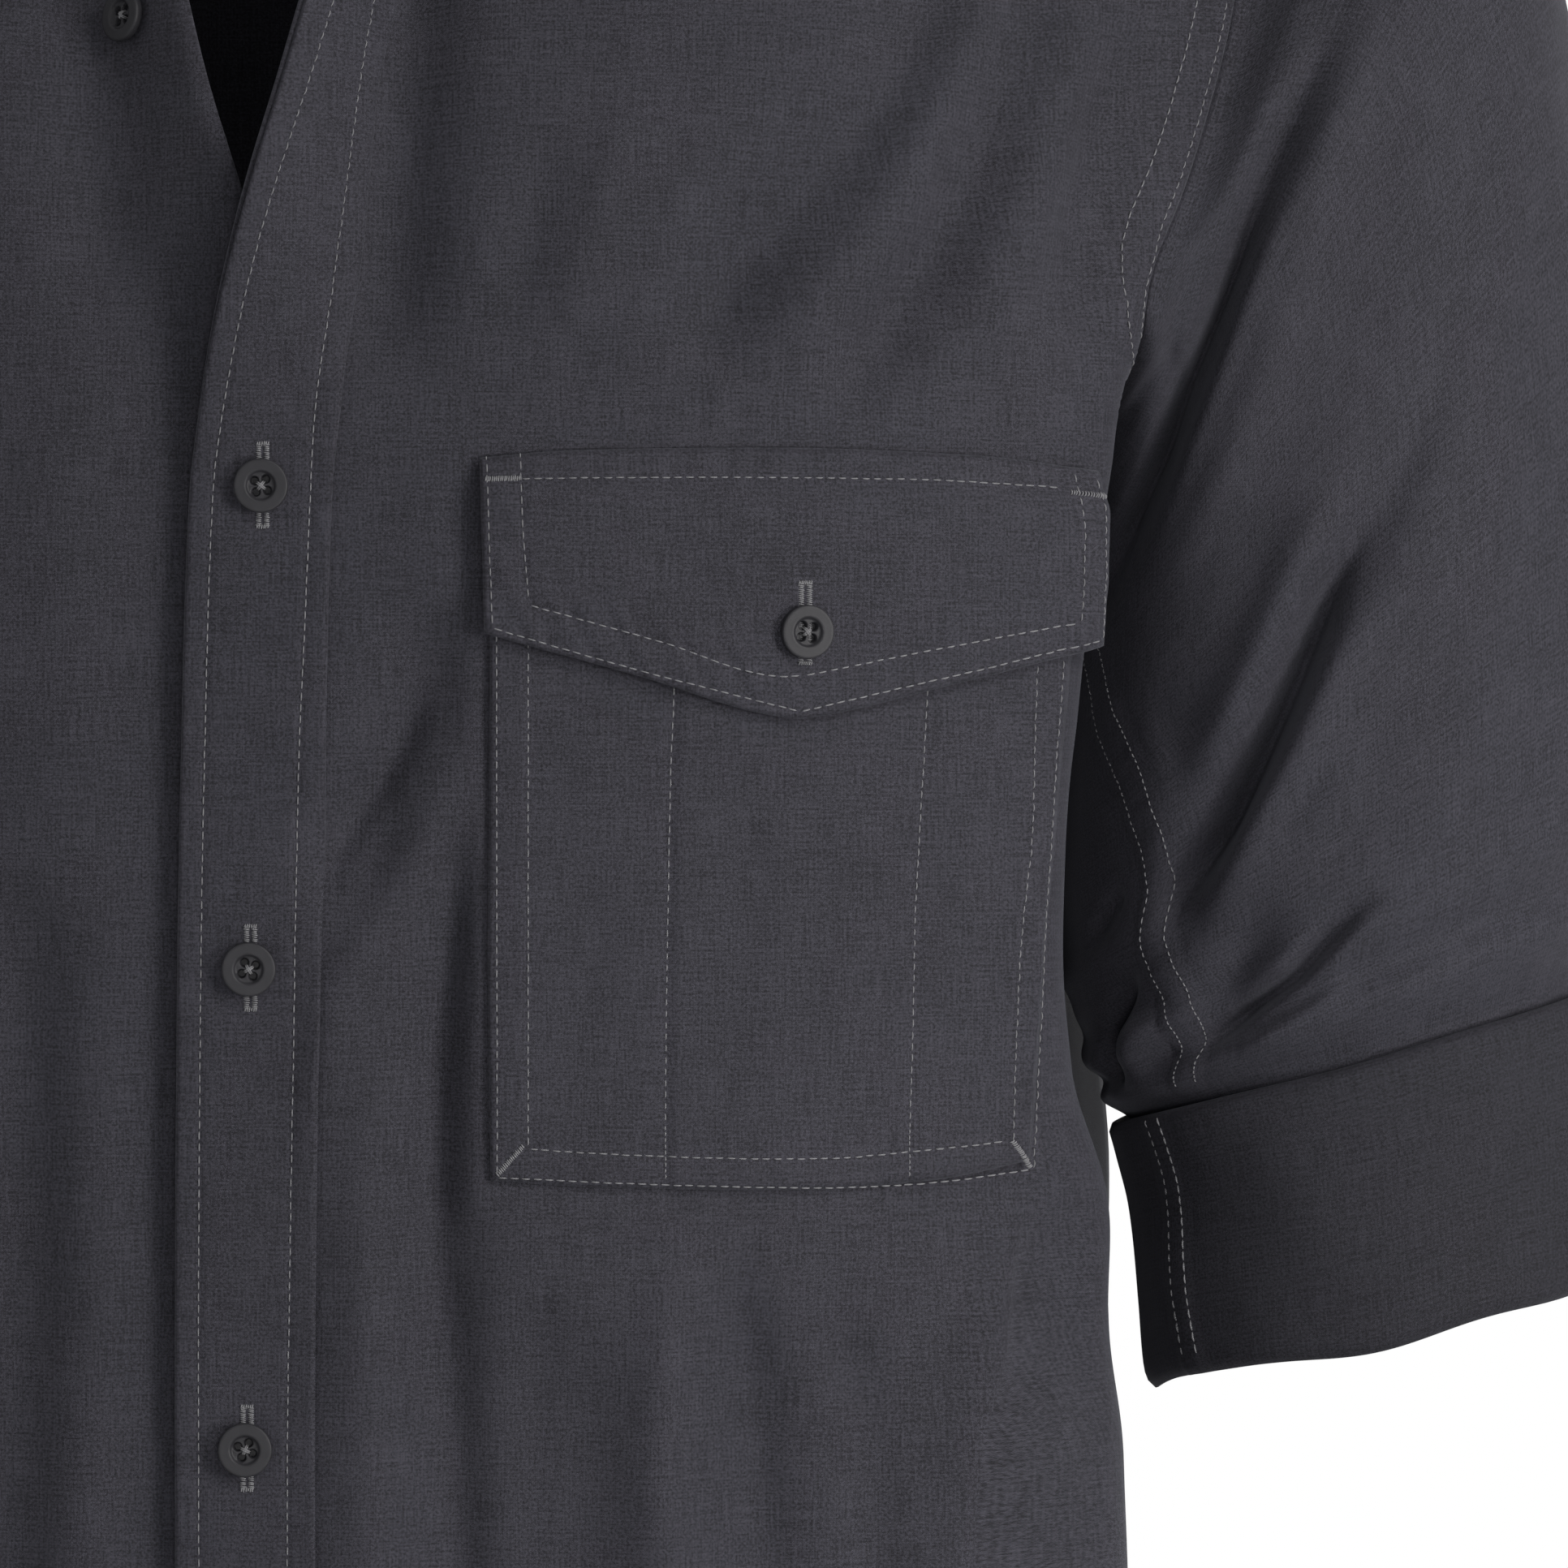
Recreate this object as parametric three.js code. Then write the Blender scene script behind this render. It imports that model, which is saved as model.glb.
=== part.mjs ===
// A long-sleeved work shirt, worn, sleeves rolled, neck open.
// Millimetres. +X is the wearer's left, -Y is the front, +Z is up.
// The origin is the middle of the neck, level with the highest shoulder points.
import * as THREE from 'three';

// Cloth thicknesses and clearances
const WALL = 1.6;
const SEAM_GAP = 0.6;
const LAID_GAP = 0.5;
const PLACKET_WALL = 1.4;
const POCKET_WALL = 1.3;
const FLAP_WALL = 1.4;
const FLAP_LIFT = 2.6;
const STAND_WALL = 2.0;
const LEAF_WALL = 2.0;
const ROLL_WALL = 3.0;

// Neck and shoulders
const NECK_HALF = 78;
const SHOULDER_X = 228;
const SHOULDER_DROP = 52;
const NECK_DROP = 95;
const BACK_NECK_DROP = 20;
const CLOSING_DEPTH = 210;
const FRONT_CLOSING = 0.8;

// Body heights
const UNDERARM_Z = -240;
const HEM_FRONT_Z = -748;
const HEM_SIDE_Z = -692;
const HEM_BACK_Z = -764;
const WRAP = 95;
const BEND_SHARE = 0.2;

// Folds: length over which they run out, height below which they reach the hem,
// and lengths on a sleeve for one degree of turn and for one step.
const FOLD_FADE = 26;
const FOLD_HEM_Z = -680;
const SLEEVE_GIRTH = 1.15;
const SLEEVE_STEP = 34;

// Collar
const STAND_FRONT = 30;
const STAND_SIDE = 26;
const STAND_BACK = 38;
const LEAF_BACK_REACH = 14;
const LEAF_FRONT_REACH = 46;
const LEAF_CLEAR = 1.2;

// Buttons
const BUTTON_RADIUS = 5.75;
const BUTTON_THICK = 2.4;
const BUTTON_SINK = 0.7;
const BUTTON_CENTRE_RADIUS = 3.2;
const BUTTON_HEIGHTS = [-255, -357, -459, -561, -663];
const OPEN_BUTTON_Z = -154;

// Pocket and flap
const POCKET_TOP_Z = -262;
const FLAP_TOP_Z = -249;

// Front panels by height: depth at the middle, width where the depth would run out,
// start of the side fold, lead of the fold, roundness of the fold, side seam.
const FRONT = table(['z', 'depth', 'wide', 'fold', 'lead', 'round', 'side'], [
  [-770, 131, 222, 160, 38, 26, 199],
  [-640, 130, 216, 158, 38, 26, 194],
  [-540, 130, 208, 152, 38, 27, 188],
  [-466, 131, 202, 150, 37, 27, 183.5],
  [-440, 132, 203, 157, 27, 22, 180],
  [-404, 134, 205, 164, 18.5, 14, 177],
  [-380, 135, 206, 163, 11.5, 11, 173],
  [-360, 136, 207, 162, 10.8, 10.5, 169.5],
  [-340, 137, 208, 163.3, 10, 10, 165.5],
  [-320, 138, 210, 164.3, 10.5, 10.5, 163],
  [-300, 139, 212, 165.6, 11.5, 11, 162],
  [-275, 140, 215, 168.6, 12, 12, 164.5],
  [-250, 140, 218, 172, 12.5, 12, 167],
  [-240, 140, 220, 174, 11.5, 11, 168],
  [-220, 140, 224, 183, 7, 7, 176],
  [-195, 140, 230, 196, 3, 3, 192.5],
  [-165, 139, 236, 206, 3, 3, 203],
  [-125, 134, 241, 214, 3, 3, 212],
  [-85, 128, 246, 222, 3, 3, 220],
  [-52, 126, 252, 228, 3, 3, 226],
  [0, 124, 252, 228, 3, 3, 226],
]);

const BACK = table(['z', 'depth', 'wide', 'fold', 'lead', 'round', 'side'], [
  [-770, 128, 224, 158, 34, 40, 199],
  [-640, 126, 218, 154, 34, 42, 194],
  [-540, 124, 212, 150, 32, 42, 188],
  [-466, 124, 208, 150, 37, 42, 183.5],
  [-440, 125, 207, 152, 38, 38, 180],
  [-404, 126, 206, 153, 40, 34, 177],
  [-380, 127, 206, 153, 37.5, 34, 173],
  [-360, 129, 207, 152.5, 35, 36, 169.5],
  [-340, 130, 208, 152, 33, 36, 165.5],
  [-320, 131.5, 210, 151.5, 31, 35, 163],
  [-300, 133, 211, 151, 27, 34, 162],
  [-250, 136, 218, 155, 19, 33, 167],
  [-240, 136, 220, 158, 18, 32, 168],
  [-220, 136, 224, 172, 10, 18, 174],
  [-195, 136, 229, 193, 3, 3, 190],
  [-165, 135, 234, 200, 3, 3, 198],
  [-125, 133, 240, 210, 3, 3, 208],
  [-85, 131, 246, 222, 3, 3, 220],
  [-52, 130, 252, 228, 3, 3, 226],
  [0, 130, 252, 228, 3, 3, 226],
]);

// Edge of each front by height: free edge, inner edge of the band, how far it rolls out.
const EDGE_LEFT = table(['z', 'edge', 'inner', 'lift'], [
  [-770, -17.5, 13, 0],
  [-461, -17.5, 12.6, 0],
  [-356, -16.7, 13.8, 0],
  [-300, -15.5, 15, 0],
  [-255, -13.8, 16.4, 0],
  [-240, -12, 17.9, 2],
  [-220, -8.5, 20, 6],
  [-202, -4.2, 22.4, 10.5],
  [-189, -0.5, 23.4, 14],
  [-170, 5.4, 25, 18],
  [-150, 11, 29, 20],
  [-120, 19, 36, 22],
  [-95, 26, 44, 22],
  [0, 26, 44, 22],
]);

const EDGE_RIGHT = table(['z', 'edge', 'inner', 'lift'], [
  [-770, -12, 18, 0],
  [-255, -12, 18, 0],
  [-240, -11, 19, 0],
  [-220, -6, 22, 1],
  [-202, 0, 25, 4],
  [-189, 4, 27, 7],
  [-170, 10, 31, 12],
  [-150, 15, 35, 15],
  [-120, 22, 40, 18],
  [-95, 28, 46, 19],
  [0, 28, 46, 19],
]);

// Armholes: share along the edge from underarm to shoulder, height, share of the side wrap.
const ARMHOLE = table(['share', 'z', 'wrap'], [
  [0, -240, 1],
  [0.12, -238, 0.7],
  [0.24, -230, 0.38],
  [0.35, -215, 0.1],
  [0.47, -195, 0],
  [0.6, -165, 0],
  [0.75, -125, 0],
  [0.88, -85, 0],
  [1, -52, 0],
]);

// Sleeve rings: outer side x and z, inner side x and z, front and back half depth,
// forward shift of the middle.
const SLEEVE = table(['step', 'xo', 'zo', 'xi', 'zi', 'front', 'back', 'mid'], [
  [0, 228, -52, 168, -240, 86, 86, 0],
  [1, 243, -58, 171, -251, 84, 85, 0],
  [2, 262, -78, 173, -267, 80, 83, 0],
  [3, 279, -112, 173.5, -286, 76, 80, 0],
  [4, 291, -160, 172.5, -306, 72, 76, -1],
  [5, 299, -212, 172, -328, 69, 71, -2],
  [6, 303, -262, 173.5, -350, 65, 67, -3],
  [7, 303, -308, 177, -371, 61, 63, -5],
  [8, 301, -338, 179.8, -386.5, 57, 58, -7],
  [9, 292.5, -360.5, 190.2, -394.2, 46.5, 46.5, -9.5],
  [10, 292, -374, 192, -404, 46, 46, -10],
  [11, 294, -400, 194.4, -426, 46, 46, -11],
  [12, 297, -424.5, 195.8, -449, 46, 46, -12],
]);

// Rolled end of the sleeve: share down the band, outer x and z, inner x and z, depth.
const ROLL = table(['share', 'xo', 'zo', 'xi', 'zi', 'depth', 'mid'], [
  [0, 297, -362, 184, -394, 51.8, -9.5],
  [0.12, 298, -369, 186, -400, 52.2, -9.7],
  [0.35, 299, -384.5, 189, -412, 52.2, -10.4],
  [0.7, 300.6, -407, 190.8, -433, 52.0, -11.4],
  [0.92, 301.6, -422, 192, -447, 51.8, -12],
  [1, 300.4, -427, 193.4, -452, 50.6, -12.2],
]);

// Largest folds: [width, rise, path of x and z pairs]. Rise below zero is a trough.
const FOLDS_LEFT = [
  [11, -6, [[38, -112], [33, -150], [30.5, -180], [29, -205], [25, -236]]],
  [10, -4, [[158, -128], [131, -170], [105, -197], [86, -232]]],
  [9, -4, [[172, -128], [157, -170], [148, -197], [135, -217], [119, -244]]],
  [9, -4, [[192, -140], [184, -170], [178, -200], [172, -232]]],
  [9, 3.5, [[164, -136], [148, -170], [126, -209], [100, -232]]],
  [9, 3, [[182, -136], [172, -170], [164, -195], [148, -232]]],
  [9, -4.5, [[36, -272], [34.5, -300], [27, -319], [20, -352]]],
  [10, -5, [[54, -318], [48, -336], [43, -356], [39, -378], [38, -402], [38.5, -427],
    [41, -461], [46, -540], [44, -650], [40, -748]]],
  [9, 2.5, [[26, -360], [23, -392], [21, -427], [19, -461], [20, -560]]],
  [13, 4, [[162, -414], [157, -428], [150, -461], [142, -540], [138, -640], [136, -740]]],
  [15, -5, [[98, -420], [105, -452], [110, -540], [112, -640], [108, -745]]],
  [13, -3.5, [[66, -424], [66, -461], [70, -560], [76, -660], [80, -748]]],
  [13, 3.5, [[88, -420], [87, -440], [88, -500], [92, -600], [94, -748]]],
  [16, -4, [[182, -520], [186, -600], [190, -690]]],
];

const FOLDS_RIGHT = [
  [12, -5, [[40, -116], [35, -150], [33, -185], [27, -232]]],
  [11, -4, [[158, -150], [128, -180], [104, -206], [84, -224]]],
  [10, 3, [[168, -166], [140, -194], [112, -222]]],
  [11, -4, [[186, -168], [172, -204], [150, -238], [120, -262]]],
  [12, 3, [[174, -222], [150, -256], [118, -284]]],
  [13, -4.5, [[170, -290], [140, -330], [112, -352], [84, -362]]],
  [13, -5, [[52, -330], [48, -380], [52, -450], [60, -560], [58, -748]]],
  [12, 3.5, [[34, -350], [32, -420], [36, -520], [34, -640]]],
  [15, 4.5, [[150, -400], [146, -470], [136, -560], [132, -740]]],
  [16, -5.5, [[104, -400], [106, -470], [98, -580], [96, -748]]],
  [16, -4, [[180, -520], [186, -600], [190, -690]]],
];

const FOLDS_BACK = [
  [16, -5, [[62, -190], [58, -280], [64, -400], [70, -540], [68, -760]]],
  [16, 4.5, [[34, -230], [30, -330], [36, -460], [34, -620], [30, -760]]],
  [17, -5.5, [[-6, -260], [2, -380], [-4, -520], [2, -760]]],
  [16, 4, [[-40, -200], [-34, -300], [-38, -420], [-32, -600], [-34, -760]]],
  [16, -5, [[-74, -180], [-66, -280], [-70, -420], [-78, -560], [-72, -760]]],
  [17, 5, [[108, -300], [104, -420], [112, -560], [108, -750]]],
  [17, 5, [[-112, -290], [-106, -420], [-114, -560], [-110, -750]]],
  [14, -5, [[182, -190], [150, -232], [118, -256]]],
  [14, -5, [[-180, -186], [-152, -228], [-116, -250]]],
  [13, 3.5, [[176, -226], [146, -262], [112, -284]]],
  [13, 3.5, [[-176, -222], [-148, -260], [-110, -280]]],
  [16, -4.5, [[150, -420], [158, -540], [162, -700]]],
  [16, -4.5, [[-150, -410], [-160, -540], [-164, -700]]],
];

// Sleeve folds: [width, rise, path of turn and step]. Turn 0 is the outer side,
// 90 the front, 180 the inner side, 270 the back.
const SLEEVE_FOLDS = [
  [12, -6, [[70, 1.5], [84, 1.8], [104, 2.3], [119, 2.6], [128, 2.88], [143, 3.05], [154, 3.5]]],
  [12, 3.5, [[62, 2.3], [80, 2.6], [98, 3.1], [114, 3.6], [132, 4.0]]],
  [10, -5.5, [[70, 4.5], [84, 4.85], [94, 5.12], [104, 5.5], [115, 5.87], [127, 6.38], [137, 6.8]]],
  [9, -4, [[80, 6.1], [96, 6.48], [110, 6.8], [117, 7.1], [124, 7.55], [130, 8.1]]],
  [9, -6, [[262, 2.0], [250, 3.6], [232, 5.0], [214, 6.0]]],
  [10, -5, [[330, 6.0], [300, 6.8], [268, 7.4], [240, 7.8]]],
  [10, 4, [[338, 5.0], [306, 5.9], [276, 6.6]]],
  [9, -4, [[30, 7.2], [10, 7.7], [346, 8.2], [320, 8.5]]],
];

function table(names, rows) {
  const keys = rows.map((row) => row[0]);
  const made = {};
  for (let c = 1; c < names.length; c += 1) {
    made[names[c]] = smoothTrack(keys, rows.map((row) => row[c]));
  }
  return made;
}

// Smooth track through the rows that never overshoots them.
function smoothTrack(keys, values) {
  const n = keys.length;
  const step = [];
  const rise = [];
  for (let i = 0; i < n - 1; i += 1) {
    step.push(keys[i + 1] - keys[i]);
    rise.push((values[i + 1] - values[i]) / step[i]);
  }
  const slope = [rise[0]];
  for (let i = 1; i < n - 1; i += 1) {
    if (rise[i - 1] * rise[i] <= 0) {
      slope.push(0);
    } else {
      const a = 2 * step[i] + step[i - 1];
      const b = step[i] + 2 * step[i - 1];
      slope.push((a + b) / (a / rise[i - 1] + b / rise[i]));
    }
  }
  slope.push(rise[n - 2]);
  return (key) => {
    const q = Math.min(Math.max(key, keys[0]), keys[n - 1]);
    let i = 0;
    while (i < n - 2 && q > keys[i + 1]) i += 1;
    const t = (q - keys[i]) / step[i];
    const t2 = t * t;
    const t3 = t2 * t;
    return (2 * t3 - 3 * t2 + 1) * values[i] + (t3 - 2 * t2 + t) * step[i] * slope[i]
      + (3 * t2 - 2 * t3) * values[i + 1] + (t3 - t2) * step[i] * slope[i + 1];
  };
}

function clamp01(value) {
  return Math.min(Math.max(value, 0), 1);
}

function ease(value) {
  const t = clamp01(value);
  return t * t * (3 - 2 * t);
}

function mix(a, b, t) {
  return a + (b - a) * t;
}

function ridge(x) {
  const out = Math.max(0, (Math.abs(x) - NECK_HALF) / (SHOULDER_X - NECK_HALF));
  return -SHOULDER_DROP * Math.pow(out, 1.15);
}

function backClosing(x) {
  return mix(0.43, 0.7, Math.min(x * x / 8100, 1));
}

function depthAt(body, x, z, power) {
  const d = clamp01((ridge(x) - z) / CLOSING_DEPTH);
  const across = Math.max(0, 1 - Math.pow(Math.abs(x) / body.wide(z), 3));
  return body.depth(z) * Math.sqrt(across) * Math.pow(1 - (1 - d) * (1 - d), power);
}

// A point of the plain body. X runs past the side fold and on round to the side seam.
function plainPoint(body, x, z, sign) {
  const fold = body.fold(z);
  const power = (at) => (sign < 0 ? FRONT_CLOSING : backClosing(at));
  if (x <= fold) {
    return new THREE.Vector3(x, sign * depthAt(body, x, z, power(x)), z);
  }
  const y0 = depthAt(body, fold, z, power(fold));
  const drop = y0 - depthAt(body, fold - 1, z, power(fold - 1));
  const cornerX = fold + body.lead(z);
  const cornerY = Math.max(y0 + drop * body.lead(z), y0 * 0.3);
  const sideX = body.side(z);
  const gone = Math.hypot(sideX - cornerX, cornerY);
  const round = Math.min(body.round(z), gone * 0.8);
  const gx = cornerX + (sideX - cornerX) * round / gone;
  const gy = cornerY * (1 - round / gone);
  const e = (x - fold) / WRAP;
  if (e < BEND_SHARE) {
    const t = e / BEND_SHARE;
    const a = (1 - t) * (1 - t);
    const b = 2 * t * (1 - t);
    const c = t * t;
    return new THREE.Vector3(
      a * fold + b * cornerX + c * gx,
      sign * (a * y0 + b * cornerY + c * gy),
      z,
    );
  }
  const t = (e - BEND_SHARE) / (1 - BEND_SHARE);
  return new THREE.Vector3(mix(gx, sideX, t), sign * gy * (1 - t), z);
}

// Distance to a path, and how far along it lies the nearest place, from both ends.
function pathDistance(path, x, z) {
  let best = 1e9;
  let gone = 0;
  let at = 0;
  for (let i = 0; i < path.length - 1; i += 1) {
    const [ax, az] = path[i];
    const [bx, bz] = path[i + 1];
    const dx = bx - ax;
    const dz = bz - az;
    const long = Math.hypot(dx, dz);
    const t = clamp01(((x - ax) * dx + (z - az) * dz) / (long * long));
    const d = Math.hypot(x - ax - t * dx, z - az - t * dz);
    if (d < best) {
      best = d;
      at = gone + t * long;
    }
    gone += long;
  }
  return [best, at, gone - at];
}

// Folds run out softly at their ends, apart from those that reach the hem.
function foldRise(folds, x, z) {
  let rise = 0;
  for (const [width, height, path] of folds) {
    const [near, fromStart, fromEnd] = pathDistance(path, x, z);
    const d = near / width;
    const atHem = path[path.length - 1][1] < FOLD_HEM_Z;
    const held = ease(fromStart / FOLD_FADE) * (atHem ? 1 : ease(fromEnd / FOLD_FADE));
    rise += height * Math.exp(-d * d) * held;
  }
  return rise;
}

// The pocket keeps its own ground smooth.
function pocketGround(x, z) {
  const across = ease((x - 40) / 8) * ease((186 - x) / 8);
  const along = ease((z + 414) / 10) * ease((-240 - z) / 8);
  return across * along;
}

function leftRise(x, z) {
  return foldRise(FOLDS_LEFT, x, z) * (1 - pocketGround(x, z));
}

function bodyPoint(body, x, z, sign, rise) {
  const p = plainPoint(body, x, z, sign);
  const du = plainPoint(body, x + 0.5, z, sign).sub(plainPoint(body, x - 0.5, z, sign));
  const dv = plainPoint(body, x, z + 0.5, sign).sub(plainPoint(body, x, z - 0.5, sign));
  const n = du.cross(dv).multiplyScalar(-sign).normalize();
  if (Math.abs(n.y) + Math.abs(n.x) < 1e-6) n.set(0, 0, 1);
  const nearRidge = ease((ridge(x) - z) / 40);
  return p.addScaledVector(n, rise * nearRidge);
}

function rollOut(edge, x, z) {
  const inner = edge.inner(z);
  const share = Math.max(0, (inner - x) / (inner - edge.edge(z)));
  return edge.lift(z) * Math.pow(share, 1.25);
}

function leftPoint(x, z) {
  const p = bodyPoint(FRONT, x, z, -1, leftRise(x, z));
  p.y -= rollOut(EDGE_LEFT, x, z);
  return p;
}

// The right front is worked out mirrored, and runs under the left one at the middle.
function rightPoint(x, z) {
  const under = ease((44 - x) / 22) * ease((-196 - z) / 24);
  const rise = mix(foldRise(FOLDS_RIGHT, x, z), leftRise(-x, z), under) - 2.8 * under;
  const p = bodyPoint(FRONT, x, z, -1, rise);
  p.y -= rollOut(EDGE_RIGHT, x, z);
  return p;
}

function backPoint(side) {
  return (x, z) => bodyPoint(BACK, x, z, 1, foldRise(FOLDS_BACK, side * x, z));
}

// Neckline of a front, in x and z, from its free edge to the high shoulder point.
function frontNeck(edge, t) {
  const start = edge.edge(-NECK_DROP);
  const a = t * Math.PI / 2;
  return [start + (NECK_HALF - start) * Math.sin(a), -NECK_DROP * Math.cos(a)];
}

function backNeck(t) {
  const x = NECK_HALF * Math.sin(t * Math.PI / 2);
  return [x, -BACK_NECK_DROP * (1 - Math.pow(x / NECK_HALF, 2))];
}

function armholeEdge(body, t) {
  const z = ARMHOLE.z(t);
  return [body.fold(z) + WRAP * ARMHOLE.wrap(t), z];
}

const UPPER_ROWS = 12;
const NECK_START = 0.5;
const BACK_NECK_COLUMNS = 6;

// Top edge of the back, from its middle along the neckline and then the shoulder.
function backCrown(i, last) {
  if (i <= BACK_NECK_COLUMNS) return backNeck(i / BACK_NECK_COLUMNS);
  const s = (i - BACK_NECK_COLUMNS) / (last - BACK_NECK_COLUMNS);
  const x = mix(NECK_HALF, SHOULDER_X, s);
  return [x, ridge(x)];
}

// Flat map of a half body, in x and z, row by row from hem to shoulder.
function halfMap(body, startAt, hem, neck, shares, lowerRows) {
  const rows = [];
  const last = shares.length - 1;
  const low = (i, z) => {
    const [part, share] = shares[i];
    const fold = body.fold(z);
    if (part === 'wrap') return fold + WRAP * share;
    if (part === 'band') return mix(startAt.edge(z), startAt.inner(z), share);
    return mix(startAt.inner(z), fold, share);
  };
  for (const down of lowerRows) {
    rows.push(shares.map((unused, i) => {
      const guess = mix(hem(low(i, -700)), UNDERARM_Z, down);
      return [low(i, guess), guess];
    }));
  }
  for (let j = 1; j <= UPPER_ROWS; j += 1) {
    const t = j / UPPER_ROWS;
    const right = armholeEdge(body, t);
    let left = [0, mix(UNDERARM_Z, -BACK_NECK_DROP, t)];
    if (neck && t >= NECK_START) left = neck((t - NECK_START) / (1 - NECK_START));
    if (neck && t < NECK_START) {
      left[1] = mix(UNDERARM_Z, -NECK_DROP, t / NECK_START);
      left[0] = startAt.edge(left[1]);
    }
    const row = shares.map((unused, i) => {
      const s = i / last;
      const top = mix(NECK_HALF, SHOULDER_X, s);
      const corner = [low(0, UNDERARM_Z), UNDERARM_Z];
      const far = [low(last, UNDERARM_Z), UNDERARM_Z];
      const bottom = [low(i, UNDERARM_Z), UNDERARM_Z];
      const crown = neck ? [top, ridge(top)] : backCrown(i, last);
      const hps = neck ? [NECK_HALF, 0] : [0, -BACK_NECK_DROP];
      const tip = [SHOULDER_X, -SHOULDER_DROP];
      return [0, 1].map((k) => (1 - s) * left[k] + s * right[k]
        + (1 - t) * bottom[k] + t * crown[k]
        - (1 - s) * (1 - t) * corner[k] - s * (1 - t) * far[k]
        - (1 - s) * t * hps[k] - s * t * tip[k]);
    });
    rows.push(row);
  }
  return rows;
}

function gridNormals(grid, wrapped) {
  const rows = grid.length;
  const cols = grid[0].length;
  return grid.map((row, j) => row.map((unused, i) => {
    const j0 = Math.max(j - 1, 0);
    const j1 = Math.min(j + 1, rows - 1);
    const i0 = wrapped ? (i + cols - 1) % cols : Math.max(i - 1, 0);
    const i1 = wrapped ? (i + 1) % cols : Math.min(i + 1, cols - 1);
    const across = grid[j][i1].clone().sub(grid[j][i0]);
    const along = grid[j1][i].clone().sub(grid[j0][i]);
    return across.cross(along).normalize();
  }));
}

// A closed solid between two grids of the same size.
function solid(name, outer, inner, colour, wrapped = false) {
  const rows = outer.length;
  const cols = outer[0].length;
  const points = [];
  for (const grid of [outer, inner]) {
    for (const row of grid) {
      for (const p of row) points.push(p.x, p.y, p.z);
    }
  }
  const half = rows * cols;
  const at = (j, i) => j * cols + (i % cols);
  const faces = [];
  const quad = (a, b, c, d) => faces.push(a, b, c, a, c, d);
  const spans = wrapped ? cols : cols - 1;
  for (let j = 0; j < rows - 1; j += 1) {
    for (let i = 0; i < spans; i += 1) {
      quad(at(j, i), at(j, i + 1), at(j + 1, i + 1), at(j + 1, i));
      quad(half + at(j, i), half + at(j + 1, i), half + at(j + 1, i + 1), half + at(j, i + 1));
    }
  }
  for (let i = 0; i < spans; i += 1) {
    quad(at(0, i), half + at(0, i), half + at(0, i + 1), at(0, i + 1));
    const top = rows - 1;
    quad(at(top, i), at(top, i + 1), half + at(top, i + 1), half + at(top, i));
  }
  if (!wrapped) {
    for (let j = 0; j < rows - 1; j += 1) {
      quad(at(j, 0), at(j + 1, 0), half + at(j + 1, 0), half + at(j, 0));
      const end = cols - 1;
      quad(at(j, end), half + at(j, end), half + at(j + 1, end), at(j + 1, end));
    }
  }
  if (signedVolume(points, faces) < 0) {
    for (let k = 0; k < faces.length; k += 3) {
      const keep = faces[k + 1];
      faces[k + 1] = faces[k + 2];
      faces[k + 2] = keep;
    }
  }
  const geometry = new THREE.BufferGeometry();
  geometry.setAttribute('position', new THREE.Float32BufferAttribute(points, 3));
  geometry.setIndex(faces);
  geometry.computeVertexNormals();
  const cloth = new THREE.MeshStandardMaterial({ color: colour, roughness: 0.9 });
  const mesh = new THREE.Mesh(geometry, cloth);
  mesh.name = name;
  return mesh;
}

function signedVolume(points, faces) {
  let total = 0;
  const a = new THREE.Vector3();
  const b = new THREE.Vector3();
  const c = new THREE.Vector3();
  for (let k = 0; k < faces.length; k += 3) {
    a.fromArray(points, faces[k] * 3);
    b.fromArray(points, faces[k + 1] * 3);
    c.fromArray(points, faces[k + 2] * 3);
    total += a.dot(b.cross(c));
  }
  return total;
}

function shifted(grid, normals, by) {
  return grid.map((row, j) => row.map((p, i) => p.clone().addScaledVector(normals[j][i], by)));
}

function mirrored(grid) {
  return grid.map((row) => row.map((p) => new THREE.Vector3(-p.x, p.y, p.z)));
}

// Column shares: the band, the panel and the wrap to the side seam.
function columnShares(band, panel, bend, side) {
  const shares = [];
  for (let i = 0; i < band; i += 1) shares.push(['band', i / band]);
  for (let i = 0; i < panel; i += 1) shares.push(['panel', 1 - Math.pow(1 - i / panel, 1.15)]);
  for (let i = 0; i < bend; i += 1) shares.push(['wrap', BEND_SHARE * i / bend]);
  for (let i = 0; i <= side; i += 1) {
    shares.push(['wrap', mix(BEND_SHARE, 1, i / side)]);
  }
  return shares;
}

// Row shares from hem to underarm, close together over the pocket and the button band.
function rowShares(low, high) {
  const split = 0.52;
  const rows = [];
  for (let j = 0; j < low; j += 1) rows.push(split * j / low);
  for (let j = 0; j <= high; j += 1) rows.push(mix(split, 1, j / high));
  return rows;
}

function frontHem(x) {
  return mix(HEM_FRONT_Z, HEM_SIDE_Z, ease((x - 60) / 200));
}

function backHem(x) {
  return mix(HEM_BACK_Z, HEM_SIDE_Z, ease((x - 60) / 195));
}

function placed(map, point) {
  return map.map((row) => row.map(([x, z]) => point(x, z)));
}

// Armhole ring: front half from the shoulder down, back half on up to the shoulder.
function armholeRing(frontGrid, backGrid) {
  const ring = [];
  const lowF = frontGrid.length - 1 - UPPER_ROWS;
  const lowB = backGrid.length - 1 - UPPER_ROWS;
  for (let k = 0; k < UPPER_ROWS; k += 1) {
    const row = frontGrid[lowF + UPPER_ROWS - k];
    ring.push(row[row.length - 1].clone());
  }
  for (let k = 0; k < UPPER_ROWS; k += 1) {
    const row = backGrid[lowB + k];
    ring.push(row[row.length - 1].clone());
  }
  return ring;
}

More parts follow.
